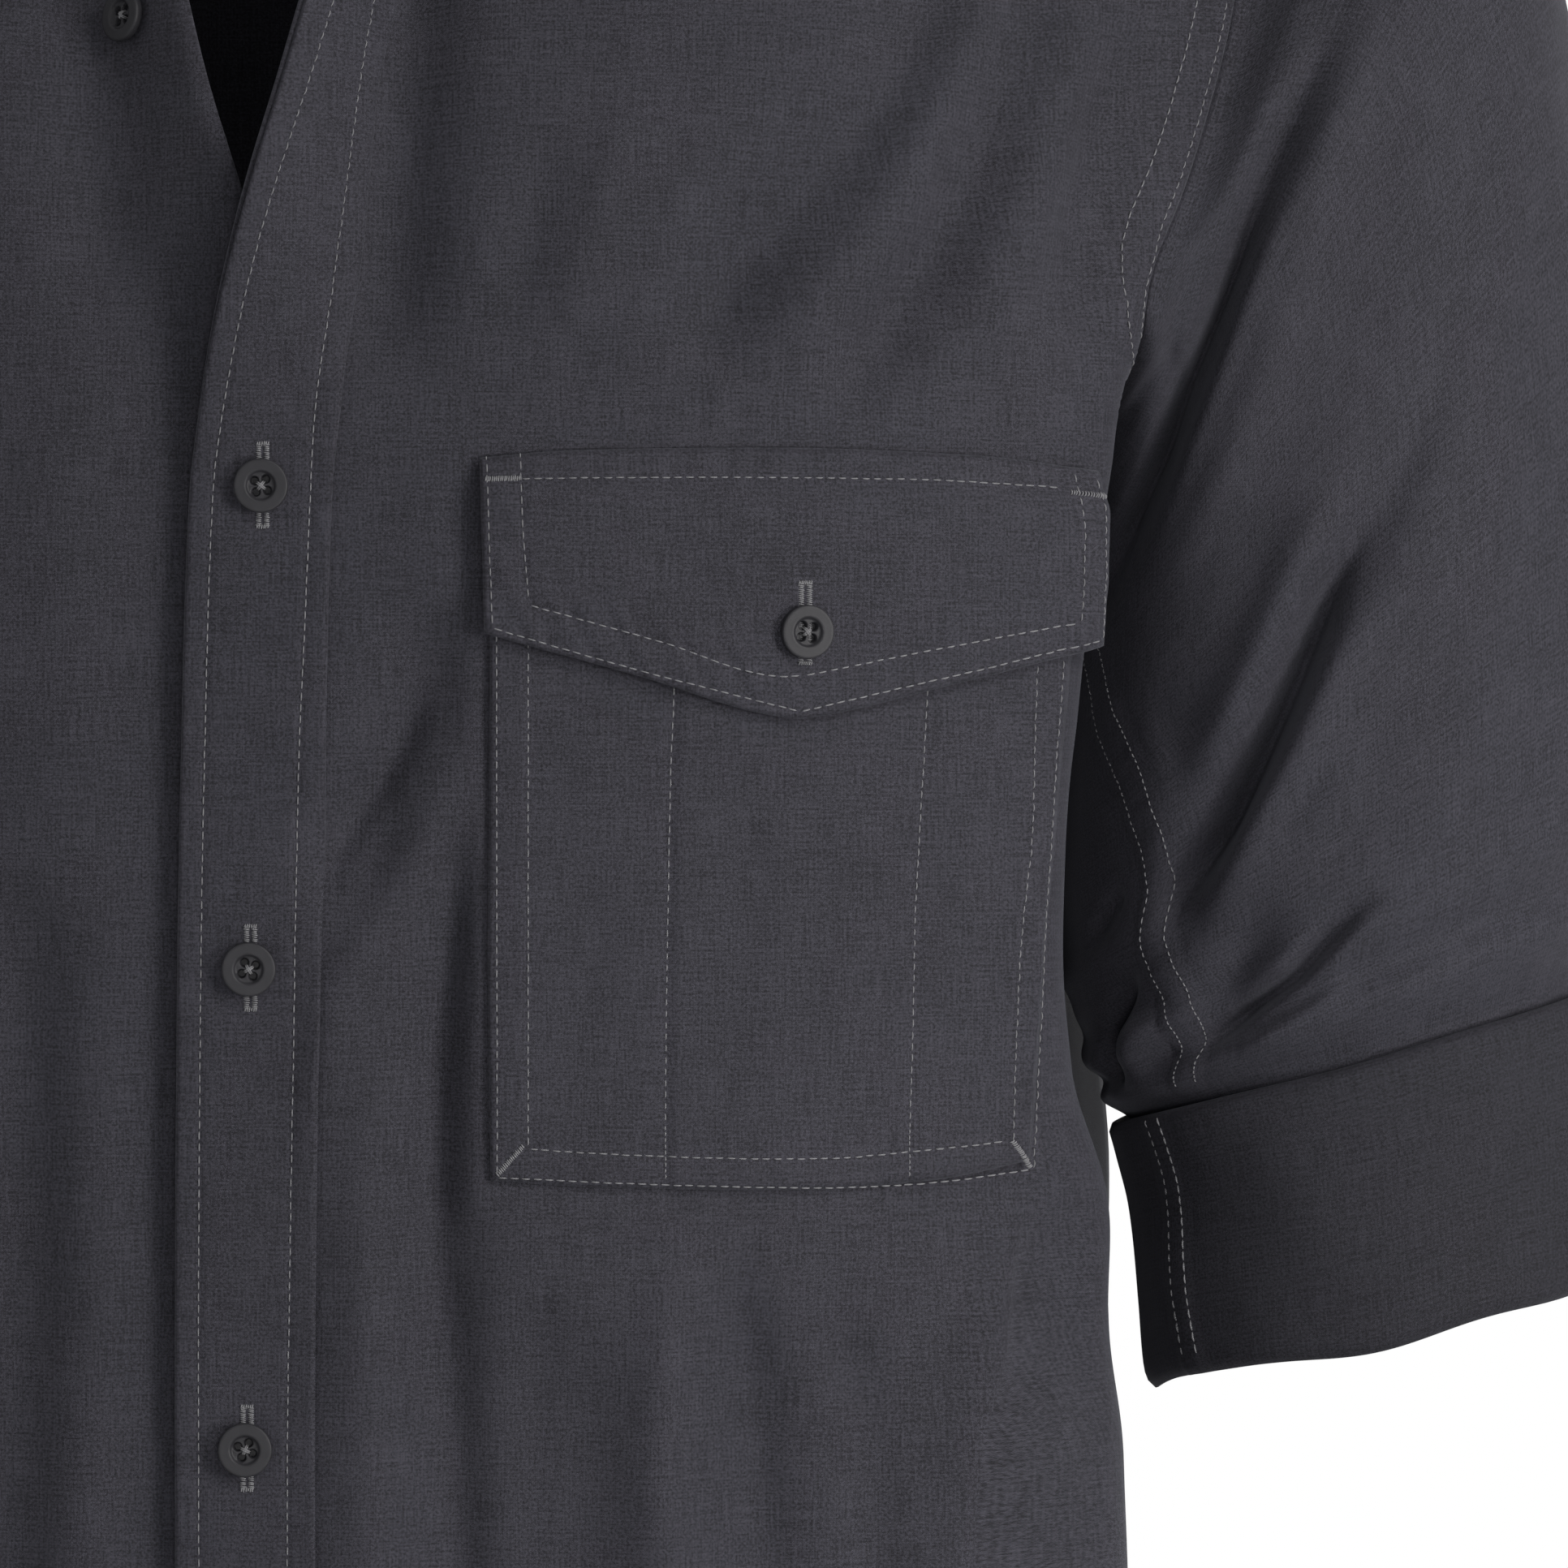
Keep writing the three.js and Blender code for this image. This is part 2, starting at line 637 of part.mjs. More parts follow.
const SLEEVE_STEPS = [0, 0.5, 1, 1.5, 2, 2.6, 3.2, 3.8, 4.4, 5, 5.6, 6.2, 6.8, 7.4, 8, 8.5, 9,
  10, 12];

function ringTurns(ring) {
  return ring.map((unused, k) => 360 * k / ring.length);
}

function ovalPoint(turn, step, grow = 0) {
  const a = turn * Math.PI / 180;
  const xo = SLEEVE.xo(step);
  const zo = SLEEVE.zo(step);
  const xi = SLEEVE.xi(step);
  const zi = SLEEVE.zi(step);
  const half = Math.hypot(xo - xi, zo - zi) / 2;
  const deep = Math.sin(a) > 0 ? SLEEVE.front(step) : SLEEVE.back(step);
  const c = Math.cos(a) * (1 + grow / half);
  const s = Math.sin(a) * (1 + grow / deep);
  return new THREE.Vector3(
    (xo + xi) / 2 + c * (xo - xi) / 2,
    SLEEVE.mid(step) - s * deep,
    (zo + zi) / 2 + c * (zo - zi) / 2,
  );
}

const SLEEVE_FOLDS_FLAT = SLEEVE_FOLDS.map(([width, rise, path]) => (
  [width, rise, path.map(([turn, step]) => [turn * SLEEVE_GIRTH, step * SLEEVE_STEP])]
));

function sleeveRise(turn, step) {
  let rise = 0;
  for (const lap of [-360, 0, 360]) {
    rise += foldRise(SLEEVE_FOLDS_FLAT, (turn + lap) * SLEEVE_GIRTH, step * SLEEVE_STEP);
  }
  return rise * ease(step / 1.2) * ease((9 - step) / 1);
}

function sleeveGrid(ring) {
  const turns = ringTurns(ring);
  return SLEEVE_STEPS.map((step) => turns.map((turn, k) => {
    const oval = ovalPoint(turn, step, sleeveRise(turn, step));
    const base = ovalPoint(turn, 0);
    const hold = 1 - ease(step / 3.2);
    return oval.addScaledVector(ring[k].clone().sub(base), hold);
  }));
}

// Seam directions round the armhole: into the cloth, and from body towards sleeve.
function seamFrames(ring, bodyInward, nextRing) {
  const n = ring.length;
  return ring.map((p, k) => {
    const along = ring[(k + 1) % n].clone().sub(ring[(k + n - 1) % n]).normalize();
    const outward = nextRing[k].clone().sub(p).normalize();
    const sleeveIn = along.clone().cross(outward).normalize();
    const centre = nextRing[(k + n / 2) % n].clone().sub(nextRing[k]);
    if (sleeveIn.dot(centre) < 0) sleeveIn.negate();
    const into = bodyInward[k].clone().add(sleeveIn);
    into.addScaledVector(along, -into.dot(along)).normalize();
    const across = along.clone().cross(into).normalize();
    if (across.dot(outward) < 0) across.negate();
    return { into, across };
  });
}

function flipped(normals, sign) {
  return normals.map((row) => row.map((n) => n.clone().multiplyScalar(sign)));
}

function keepOff(grid, y) {
  for (const row of grid) {
    for (const p of row) {
      if (y < 0) p.y = Math.min(p.y, y);
      else p.y = Math.max(p.y, y);
    }
  }
}

function setArmhole(outer, inner, frames, takeFrame) {
  const low = outer.length - 1 - UPPER_ROWS;
  for (let k = 0; k <= UPPER_ROWS; k += 1) {
    const frame = frames[takeFrame(k)];
    const j = low + k;
    const i = outer[j].length - 1;
    outer[j][i].addScaledVector(frame.across, -SEAM_GAP / 2);
    inner[j][i].copy(outer[j][i]).addScaledVector(frame.into, WALL);
  }
}

function buildHalf(side) {
  const edge = side > 0 ? EDGE_LEFT : EDGE_RIGHT;
  const fShares = side > 0 ? columnShares(3, 12, 3, 3) : columnShares(2, 8, 3, 3);
  const fRows = side > 0 ? rowShares(8, 18) : rowShares(6, 9);
  const fMap = halfMap(FRONT, edge, frontHem, (t) => frontNeck(edge, t), fShares, fRows);
  const front = placed(fMap, side > 0 ? leftPoint : rightPoint);
  const middle = { edge: () => 0, inner: () => 12 };
  const bMap = halfMap(BACK, middle, backHem, null, columnShares(1, 8, 2, 3),
    rowShares(6, 8));
  const back = placed(bMap, backPoint(side));
  const frontIn = flipped(gridNormals(front, false), -1);
  const backIn = flipped(gridNormals(back, false), 1);
  return { fMap, front, frontIn, bMap, back, backIn, fShares };
}

function bodyRing(half) {
  const ring = armholeRing(half.front, half.back);
  const lowF = half.front.length - 1 - UPPER_ROWS;
  const lowB = half.back.length - 1 - UPPER_ROWS;
  const inward = [];
  for (let k = 0; k < UPPER_ROWS; k += 1) {
    const row = half.frontIn[lowF + UPPER_ROWS - k];
    inward.push(row[row.length - 1]);
  }
  for (let k = 0; k < UPPER_ROWS; k += 1) {
    const row = half.backIn[lowB + k];
    inward.push(row[row.length - 1]);
  }
  return { ring, inward };
}

function button(name, at, facing) {
  const profile = [
    [0, 0.1],
    [4.7, 0.1],
    [BUTTON_RADIUS, 0.9],
    [BUTTON_RADIUS, 1.8],
    [5.3, BUTTON_THICK],
    [BUTTON_CENTRE_RADIUS + 0.5, BUTTON_THICK],
    [BUTTON_CENTRE_RADIUS, BUTTON_THICK - BUTTON_SINK],
    [0, BUTTON_THICK - BUTTON_SINK],
  ].map(([r, h]) => new THREE.Vector2(r, h));
  const geometry = new THREE.LatheGeometry(profile, 18);
  const plastic = new THREE.MeshStandardMaterial({ color: 0x2c2b31, roughness: 0.55 });
  const mesh = new THREE.Mesh(geometry, plastic);
  mesh.name = name;
  mesh.quaternion.setFromUnitVectors(new THREE.Vector3(0, 1, 0), facing);
  mesh.position.copy(at);
  return mesh;
}

function outwardNormal(point, x, z) {
  return outwardFrom(point, x, z, -1);
}

function outwardFrom(point, x, z, sign) {
  const high = Math.min(z + 2, ridge(x) - 0.2);
  const du = point(x + 2, z).sub(point(x - 2, z));
  const dv = point(x, high).sub(point(x, z - 2));
  const n = du.cross(dv).normalize();
  if (n.y * sign < 0) n.negate();
  return n;
}

// A patch laid on a panel: [x, z] grid, near and far face distances from the panel.
function laid(name, map, near, far, colour) {
  const outer = map.map((row) => row.map(([x, z, up = 0]) => {
    const n = outwardNormal(leftPoint, x, z);
    return leftPoint(x, z).addScaledVector(n, far + up);
  }));
  const inner = map.map((row) => row.map(([x, z, up = 0]) => {
    const n = outwardNormal(leftPoint, x, z);
    return leftPoint(x, z).addScaledVector(n, near + up);
  }));
  return solid(name, outer, inner, colour);
}

const POCKET_EDGES = table(['share', 'left', 'right'], [
  [0, 49.4, 163.5],
  [0.3, 48.9, 166],
  [0.6, 49.2, 169.5],
  [1, 49.6, 173.5],
]);
const POCKET_FOOT = table(['share', 'z'], [
  [0, -402],
  [0.2, -403.6],
  [0.6, -404.4],
  [0.8, -403],
  [1, -399],
]);

function pocketMap(cols, rows) {
  const map = [];
  for (let j = 0; j <= rows; j += 1) {
    const t = j / rows;
    const row = [];
    for (let i = 0; i <= cols; i += 1) {
      const s = i / cols;
      const z = mix(POCKET_FOOT.z(s), POCKET_TOP_Z, t);
      const x = mix(POCKET_EDGES.left(t), POCKET_EDGES.right(t), s);
      row.push([x, z, 1.3 * ease((s - 0.7) / 0.2)]);
    }
    map.push(row);
  }
  return map;
}

const FLAP_FOOT = table(['share', 'z'], [
  [0, -286],
  [0.25, -295],
  [0.47, -303.4],
  [0.51, -304],
  [0.55, -303.2],
  [0.78, -295.5],
  [1, -287.5],
]);
const FLAP_HEAD = table(['share', 'z'], [
  [0, -249],
  [0.15, -247.4],
  [0.5, -246.6],
  [0.8, -247.6],
  [1, -250.2],
]);

function flapMap(cols, rows) {
  const map = [];
  for (let j = 0; j <= rows; j += 1) {
    const t = j / rows;
    const row = [];
    for (let i = 0; i <= cols; i += 1) {
      const s = i / cols;
      const x = mix(mix(48.2, 47.2, t), 177.2, s);
      const z = mix(FLAP_FOOT.z(s), FLAP_HEAD.z(s), t);
      const corner = 1.3 * ease((s - 0.65) / 0.2);
      row.push([x, z, 0.3 + FLAP_LIFT * ease((1 - t) / 0.25) + corner]);
    }
    map.push(row);
  }
  return map;
}

// Neck ring as base points with an outward surface normal, left front round to right front.
function neckRing() {
  const ring = [];
  const count = 9;
  const add = (point, [x, z], mirror, sign) => {
    const p = point(x, z);
    const du = point(x + 1, z - 0.5).sub(point(x - 1, z - 0.5));
    const dv = point(x, z - 0.2).sub(point(x, z - 2.2));
    const n = du.cross(dv).normalize();
    if (n.y * sign < 0) n.negate();
    if (mirror) {
      p.x = -p.x;
      n.x = -n.x;
    }
    ring.push({ p, n, front: sign < 0, side: mirror ? -1 : 1 });
  };
  for (let k = 0; k < count; k += 1) {
    add(leftPoint, frontNeck(EDGE_LEFT, k / count), false, -1);
  }
  for (let k = count; k > 0; k -= 1) {
    add(backPoint(1), backNeck(k / count), false, 1);
  }
  for (let k = 0; k < count; k += 1) {
    add(backPoint(-1), backNeck(k / count), true, 1);
  }
  for (let k = count; k >= 0; k -= 1) {
    add(rightPoint, frontNeck(EDGE_RIGHT, k / count), true, -1);
  }
  return ring;
}

// Lifts a collar point until it lies clear above the shoulder, the chest or the back.
function clearOfBody(q, front, side) {
  const x = Math.abs(q.x);
  const fall = side > 0 ? leftPoint : rightPoint;
  const point = front ? fall : backPoint(side);
  const sign = front ? -1 : 1;
  const z = Math.min(q.z, ridge(x) - 0.5);
  const body = point(x, z);
  const n = outwardFrom(point, x, z, sign);
  const over = new THREE.Vector3(x, q.y, q.z).sub(body).dot(n);
  const short = LEAF_CLEAR + LEAF_WALL - over;
  if (short <= 0) return q;
  return new THREE.Vector3(q.x + side * n.x * short, q.y + n.y * short, q.z + n.z * short);
}

function collar(group, cloth) {
  const ring = neckRing();
  const n = ring.length;
  const stations = ring.map(({ p, n: up }, k) => {
    const before = ring[Math.max(k - 1, 0)].p;
    const after = ring[Math.min(k + 1, n - 1)].p;
    const along = after.clone().sub(before).normalize();
    const out = new THREE.Vector3(p.x, p.y + 12, 0).normalize();
    const z = new THREE.Vector3(0, 0, 1);
    const square = z.clone().addScaledVector(along, -along.z).normalize();
    const rise = z.multiplyScalar(0.55).addScaledVector(square, 0.45);
    const fromEnd = Math.min(k, n - 1 - k) / (n - 1);
    const lean = mix(0.1, -0.16, ease(fromEnd / 0.22));
    const tall = fromEnd < 0.25
      ? mix(STAND_FRONT, STAND_SIDE, ease(fromEnd / 0.25))
      : mix(STAND_SIDE, STAND_BACK, ease((fromEnd - 0.25) / 0.25));
    rise.addScaledVector(out, lean).normalize();
    const away = along.clone().cross(up).normalize();
    if (away.dot(out) < 0 && away.z > 0) away.negate();
    if (away.z > 0.2) away.negate();
    const face = along.clone().cross(rise).normalize();
    if (face.dot(out) < 0) face.negate();
    const { front, side } = ring[k];
    return { p, up, out, rise, tall, face, away, fromEnd, front, side };
  });
  const standRows = [0, 0.5, 1];
  const outer = standRows.map((t) => stations.map(({ p, rise, tall }) => (
    p.clone().addScaledVector(rise, SEAM_GAP + 0.4 + tall * t)
  )));
  const inner = outer.map((row) => row.map((q, k) => (
    q.clone().addScaledVector(stations[k].out, -STAND_WALL)
  )));
  group.add(solid('collar_stand', outer, inner, cloth));
  const used = stations.slice(1, n - 1);
  const near = [];
  const far = [];
  for (const { p, up, out, rise, tall, away, fromEnd, front, side } of used) {
    const top = p.clone().addScaledVector(rise, tall + 1);
    const tipShare = 1 - ease((fromEnd - 0.03) / 0.26);
    const reach = mix(LEAF_BACK_REACH, LEAF_FRONT_REACH, tipShare);
    const spread = new THREE.Vector3(Math.sign(p.x) * 0.42 * tipShare, 0, 0);
    const fall = away.clone().add(spread).normalize();
    const foot = p.clone().addScaledVector(fall, reach).addScaledVector(up, LEAF_CLEAR);
    const a = top.clone().addScaledVector(out, -STAND_WALL).addScaledVector(rise, 0.6);
    const b = top.clone().addScaledVector(out, 0.8).addScaledVector(rise, 0.9);
    const c = top.clone().addScaledVector(out, 3.4).addScaledVector(rise, -2.2);
    const bow = p.clone().addScaledVector(rise, tall * 0.4).addScaledVector(out, 11);
    const line = [a, b, c];
    for (const t of [0.3, 0.55, 0.8, 1]) {
      line.push(new THREE.Vector3()
        .addScaledVector(c, (1 - t) * (1 - t))
        .addScaledVector(bow, 2 * t * (1 - t))
        .addScaledVector(foot, t * t));
    }
    near.push(line.map((q, r) => (r < 3 ? q : clearOfBody(q, front, side))));
  }
  const flat = near[0].map((unused, r) => near.map((line) => line[r]));
  const normals = gridNormals(flat, false);
  const middle = Math.floor(flat[0].length / 2);
  const sign = normals[3][middle].y > 0 ? 1 : -1;
  for (let r = 0; r < flat.length; r += 1) {
    far.push(flat[r].map((q, k) => q.clone().addScaledVector(normals[r][k], sign * LEAF_WALL)));
  }
  group.add(solid('collar_leaf', far, flat, cloth));
  return stations;
}

function roll(name, side, cloth) {
  const around = 24;
  const shares = [0, 0.12, 0.35, 0.7, 0.92, 1];
  const ringAt = (share, grow) => {
    const row = [];
    for (let k = 0; k < around; k += 1) {
      const a = 2 * Math.PI * k / around;
      const xo = ROLL.xo(share);
      const zo = ROLL.zo(share);
      const xi = ROLL.xi(share);
      const zi = ROLL.zi(share);
      const half = Math.hypot(xo - xi, zo - zi) / 2;
      const deep = ROLL.depth(share);
      const c = Math.cos(a) * (1 + grow / half);
      const s = Math.sin(a) * (1 + grow / deep);
      row.push(new THREE.Vector3(
        side * ((xo + xi) / 2 + c * (xo - xi) / 2),
        ROLL.mid(share) - s * deep,
        (zo + zi) / 2 + c * (zo - zi) / 2,
      ));
    }
    return row;
  };
  const outer = shares.map((share) => ringAt(share, 0));
  const inner = shares.map((share) => ringAt(Math.min(share, 0.97), -ROLL_WALL));
  return solid(name, outer, inner, cloth, true);
}

function build() {
  const group = new THREE.Group();
  const cloth = 0x37363d;
  const left = buildHalf(1);
  const right = buildHalf(-1);
  const sides = [[left, 1], [right, -1]];
  for (const [half, side] of sides) {
    const { ring, inward } = bodyRing(half);
    const grid = sleeveGrid(ring);
    const frames = seamFrames(ring, inward, grid[2]);
    const sleeveNormals = gridNormals(grid, true);
    const probe = sleeveNormals[12][6];
    const flip = probe.y > 0 ? 1 : -1;
    const inside = shifted(grid, sleeveNormals, flip * WALL);
    for (let k = 0; k < ring.length; k += 1) {
      grid[0][k] = ring[k].clone().addScaledVector(frames[k].across, SEAM_GAP / 2);
      inside[0][k] = grid[0][k].clone().addScaledVector(frames[k].into, WALL);
    }
    const put = (g) => (side > 0 ? g : mirrored(g));
    const sideName = side > 0 ? 'left' : 'right';
    group.add(solid(`sleeve_${sideName}`, put(grid), put(inside), cloth, true));
    half.frontInner = shifted(half.front, half.frontIn, WALL);
    half.backInner = shifted(half.back, half.backIn, WALL);
    half.frontShown = half.front.map((row) => row.map((p) => p.clone()));
    setArmhole(half.front, half.frontInner, frames, (k) => (UPPER_ROWS - k));
    setArmhole(half.back, half.backInner, frames, (k) => (
      k === UPPER_ROWS ? 0 : UPPER_ROWS + k
    ));
    for (const g of [half.front, half.frontInner]) keepOff(g, -SEAM_GAP / 2);
    for (const g of [half.back, half.backInner]) keepOff(g, SEAM_GAP / 2);
    const outer = put(half.front);
    const inner = put(half.frontInner);
    group.add(solid(`front_${sideName}`, outer, inner, cloth));
    group.add(roll(`roll_${sideName}`, side, 0x2b2a30));
  }
  const join = (a, b) => a.map((row, j) => {
    const rightHalf = mirrored([b[j]])[0].slice(1).reverse();
    return rightHalf.concat(row);
  });
  group.add(solid('back', join(left.back, right.back), join(left.backInner, right.backInner),
    cloth));

  const bandCols = 3;
  const normals = gridNormals(left.frontShown, false);
  const neckRows = left.frontShown.length;
  const stop = neckRows - UPPER_ROWS * NECK_START;
  const bandOuter = [];
  const bandInner = [];
  for (let j = 0; j < stop; j += 1) {
    const near = [];
    const far = [];
    for (let i = 0; i <= bandCols; i += 1) {
      const p = left.frontShown[j][i];
      near.push(p.clone().addScaledVector(normals[j][i], LAID_GAP));
      far.push(p.clone().addScaledVector(normals[j][i], LAID_GAP + PLACKET_WALL));
    }
    bandInner.push(near);
    bandOuter.push(far);
  }
  group.add(solid('placket', bandOuter, bandInner, cloth));
  group.add(laid('pocket', pocketMap(9, 10), LAID_GAP, LAID_GAP + POCKET_WALL, cloth));
  group.add(laid('pocket_flap', flapMap(12, 4), LAID_GAP, LAID_GAP + FLAP_WALL, cloth));

  const top = LAID_GAP + PLACKET_WALL + 0.5;
  BUTTON_HEIGHTS.forEach((z, k) => {
    const x = (EDGE_LEFT.edge(z) + EDGE_LEFT.inner(z)) / 2;
    const n = outwardNormal(leftPoint, x, z);
    const at = leftPoint(x, z).addScaledVector(n, top);
    group.add(button(`button_front_${k + 1}`, at, n));
  });
  const openX = EDGE_RIGHT.edge(OPEN_BUTTON_Z) + 13;
  const openN = outwardNormal(rightPoint, openX, OPEN_BUTTON_Z);
  const openAt = rightPoint(openX, OPEN_BUTTON_Z).addScaledVector(openN, 0.9);
  openAt.x = -openAt.x;
  openN.x = -openN.x;
  group.add(button('button_open', openAt, openN));
  const flapX = 114.8;
  const flapZ = -285.4;
  const flapN = outwardNormal(leftPoint, flapX, flapZ);
  const flapAt = leftPoint(flapX, flapZ)
    .addScaledVector(flapN, LAID_GAP + FLAP_LIFT + FLAP_WALL + 0.4);
  group.add(button('button_flap', flapAt, flapN));

  const stations = collar(group, cloth);
  const end = stations[stations.length - 2];
  const facing = end.face.clone();
  const collarAt = end.p.clone().addScaledVector(end.rise, 16).addScaledVector(facing, 0.35);
  group.add(button('button_collar', collarAt, facing));
  return group;
}

export default build();
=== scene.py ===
"""A long-sleeved work shirt, worn, sleeves rolled, neck open: the look of each piece.

Shapes are worked out in millimetres on the frame's axes (+X the wearer's left, -Y the front,
+Z up, origin in the middle of the neck) and turned into metres when a mesh is made.
"""
import math

import bpy
import numpy as np
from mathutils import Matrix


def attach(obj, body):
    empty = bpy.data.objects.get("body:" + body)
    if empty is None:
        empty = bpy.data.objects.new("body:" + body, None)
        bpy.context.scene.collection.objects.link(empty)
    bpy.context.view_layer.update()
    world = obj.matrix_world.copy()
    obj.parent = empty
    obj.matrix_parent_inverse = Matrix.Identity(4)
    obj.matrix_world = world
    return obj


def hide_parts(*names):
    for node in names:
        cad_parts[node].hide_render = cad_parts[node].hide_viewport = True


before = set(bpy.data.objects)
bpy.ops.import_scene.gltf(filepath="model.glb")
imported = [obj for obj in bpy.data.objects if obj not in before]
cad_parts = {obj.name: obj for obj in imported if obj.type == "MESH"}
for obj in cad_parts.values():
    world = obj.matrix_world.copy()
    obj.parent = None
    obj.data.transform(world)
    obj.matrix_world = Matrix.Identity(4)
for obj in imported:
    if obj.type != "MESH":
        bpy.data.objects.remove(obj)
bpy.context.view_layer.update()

MM = 0.001

# ---------------------------------------------------------------- sizes shared with the solids
NECK_HALF, SHOULDER_X, SHOULDER_DROP = 78.0, 228.0, 52.0
NECK_DROP, BACK_NECK_DROP = 95.0, 20.0
CLOSING_DEPTH, FRONT_CLOSING = 210.0, 0.8
UNDERARM_Z, HEM_FRONT_Z, HEM_SIDE_Z, HEM_BACK_Z = -240.0, -748.0, -692.0, -764.0
WRAP, BEND_SHARE, NECK_START = 95.0, 0.2, 0.5
FOLD_FADE, FOLD_HEM_Z = 26.0, -680.0
STAND_FRONT, STAND_SIDE, STAND_BACK, STAND_WALL = 30.0, 26.0, 38.0, 2.0
LEAF_BACK_REACH, LEAF_FRONT_REACH, LEAF_CLEAR, LEAF_WALL = 14.0, 46.0, 1.2, 2.0
FLAP_LIFT, ROLL_WALL = 2.6, 3.0
BUTTON_HEIGHTS = [-255, -357, -459, -561, -663]
OPEN_BUTTON_Z = -154.0
POCKET_TOP_Z = -262.0
FLAP_BUTTON = (114.8, -285.4)

# ---------------------------------------------------------------- thicknesses of the shells
CLOTH_THICK = 0.8
BAND_TOP, BAND_THICK = 1.75, 1.6
POCKET_TOP, POCKET_THICK = 1.3, 1.15
FLAP_TOP, FLAP_THICK = 1.9, 1.1

# Felled seams: width of the raised strip, its height, the two rows of sewing on it, and the
# lengths of the two seams that are puckered along their path.
SEAM_WIDE, SEAM_HIGH = 9.4, 0.75
SEAM_ROWS = (1.8, 8.2)
ARMHOLE_LENGTH, SLEEVE_SEAM_LENGTH = 262.0, 330.0

# Sewing: distance from stitch to stitch, length of a stitch, and radius of the thread.
STITCH_PITCH, STITCH_LONG, THREAD_RADIUS = 2.45, 1.7, 0.15


# ---------------------------------------------------------------- smooth steps, tracks and tables
def mix(a, b, t):
    return a + (b - a) * t


def ease(v):
    t = np.clip(v, 0, 1)
    return t * t * (3 - 2 * t)


class Track:
    """Smooth track through the rows that never overshoots them."""

    def __init__(self, keys, values):
        self.k = np.array(keys, float)
        self.v = np.array(values, float)
        step = np.diff(self.k)
        rise = np.diff(self.v) / step
        slope = [rise[0]]
        for i in range(1, len(step)):
            if rise[i - 1] * rise[i] <= 0:
                slope.append(0.0)
            else:
                a = 2 * step[i] + step[i - 1]
                b = step[i] + 2 * step[i - 1]
                slope.append((a + b) / (a / rise[i - 1] + b / rise[i]))
        slope.append(rise[-1])
        self.step, self.slope = step, np.array(slope)

    def __call__(self, q):
        q = np.clip(np.asarray(q, float), self.k[0], self.k[-1])
        i = np.clip(np.searchsorted(self.k, q, side="left") - 1, 0, len(self.step) - 1)
        t = (q - self.k[i]) / self.step[i]
        t2, t3 = t * t, t * t * t
        return ((2 * t3 - 3 * t2 + 1) * self.v[i]
                + (t3 - 2 * t2 + t) * self.step[i] * self.slope[i]
                + (3 * t2 - 2 * t3) * self.v[i + 1]
                + (t3 - t2) * self.step[i] * self.slope[i + 1])


class Table:
    def __init__(self, names, rows):
        keys = [r[0] for r in rows]
        for c, name in enumerate(names):
            if c:
                setattr(self, name, Track(keys, [r[c] for r in rows]))


# ---------------------------------------------------------------- tables of forms and folds
FRONT = Table(["z", "depth", "wide", "fold", "lead", "round", "side"], [
    [-770, 131, 222, 160, 38, 26, 199],
    [-640, 130, 216, 158, 38, 26, 194],
    [-540, 130, 208, 152, 38, 27, 188],
    [-466, 131, 202, 150, 37, 27, 183.5],
    [-440, 132, 203, 157, 27, 22, 180],
    [-404, 134, 205, 164, 18.5, 14, 177],
    [-380, 135, 206, 163, 11.5, 11, 173],
    [-360, 136, 207, 162, 10.8, 10.5, 169.5],
    [-340, 137, 208, 163.3, 10, 10, 165.5],
    [-320, 138, 210, 164.3, 10.5, 10.5, 163],
    [-300, 139, 212, 165.6, 11.5, 11, 162],
    [-275, 140, 215, 168.6, 12, 12, 164.5],
    [-250, 140, 218, 172, 12.5, 12, 167],
    [-240, 140, 220, 174, 11.5, 11, 168],
    [-220, 140, 224, 183, 7, 7, 176],
    [-195, 140, 230, 196, 3, 3, 192.5],
    [-165, 139, 236, 206, 3, 3, 203],
    [-125, 134, 241, 214, 3, 3, 212],
    [-85, 128, 246, 222, 3, 3, 220],
    [-52, 126, 252, 228, 3, 3, 226],
    [0, 124, 252, 228, 3, 3, 226],
])
BACK = Table(["z", "depth", "wide", "fold", "lead", "round", "side"], [
    [-770, 128, 224, 158, 34, 40, 199],
    [-640, 126, 218, 154, 34, 42, 194],
    [-540, 124, 212, 150, 32, 42, 188],
    [-466, 124, 208, 150, 37, 42, 183.5],
    [-440, 125, 207, 152, 38, 38, 180],
    [-404, 126, 206, 153, 40, 34, 177],
    [-380, 127, 206, 153, 37.5, 34, 173],
    [-360, 129, 207, 152.5, 35, 36, 169.5],
    [-340, 130, 208, 152, 33, 36, 165.5],
    [-320, 131.5, 210, 151.5, 31, 35, 163],
    [-300, 133, 211, 151, 27, 34, 162],
    [-250, 136, 218, 155, 19, 33, 167],
    [-240, 136, 220, 158, 18, 32, 168],
    [-220, 136, 224, 172, 10, 18, 174],
    [-195, 136, 229, 193, 3, 3, 190],
    [-165, 135, 234, 200, 3, 3, 198],
    [-125, 133, 240, 210, 3, 3, 208],
    [-85, 131, 246, 222, 3, 3, 220],
    [-52, 130, 252, 228, 3, 3, 226],
    [0, 130, 252, 228, 3, 3, 226],
])
EDGE_LEFT = Table(["z", "edge", "inner", "lift"], [
    [-770, -17.5, 13, 0],
    [-461, -17.5, 12.6, 0],
    [-356, -16.7, 13.8, 0],
    [-300, -15.5, 15, 0],
    [-255, -13.8, 16.4, 0],
    [-240, -12, 17.9, 2],
    [-220, -8.5, 20, 6],
    [-202, -4.2, 22.4, 10.5],
    [-189, -0.5, 23.4, 14],
    [-170, 5.4, 25, 18],
    [-150, 11, 29, 20],
    [-120, 19, 36, 22],
    [-95, 26, 44, 22],
    [0, 26, 44, 22],
])
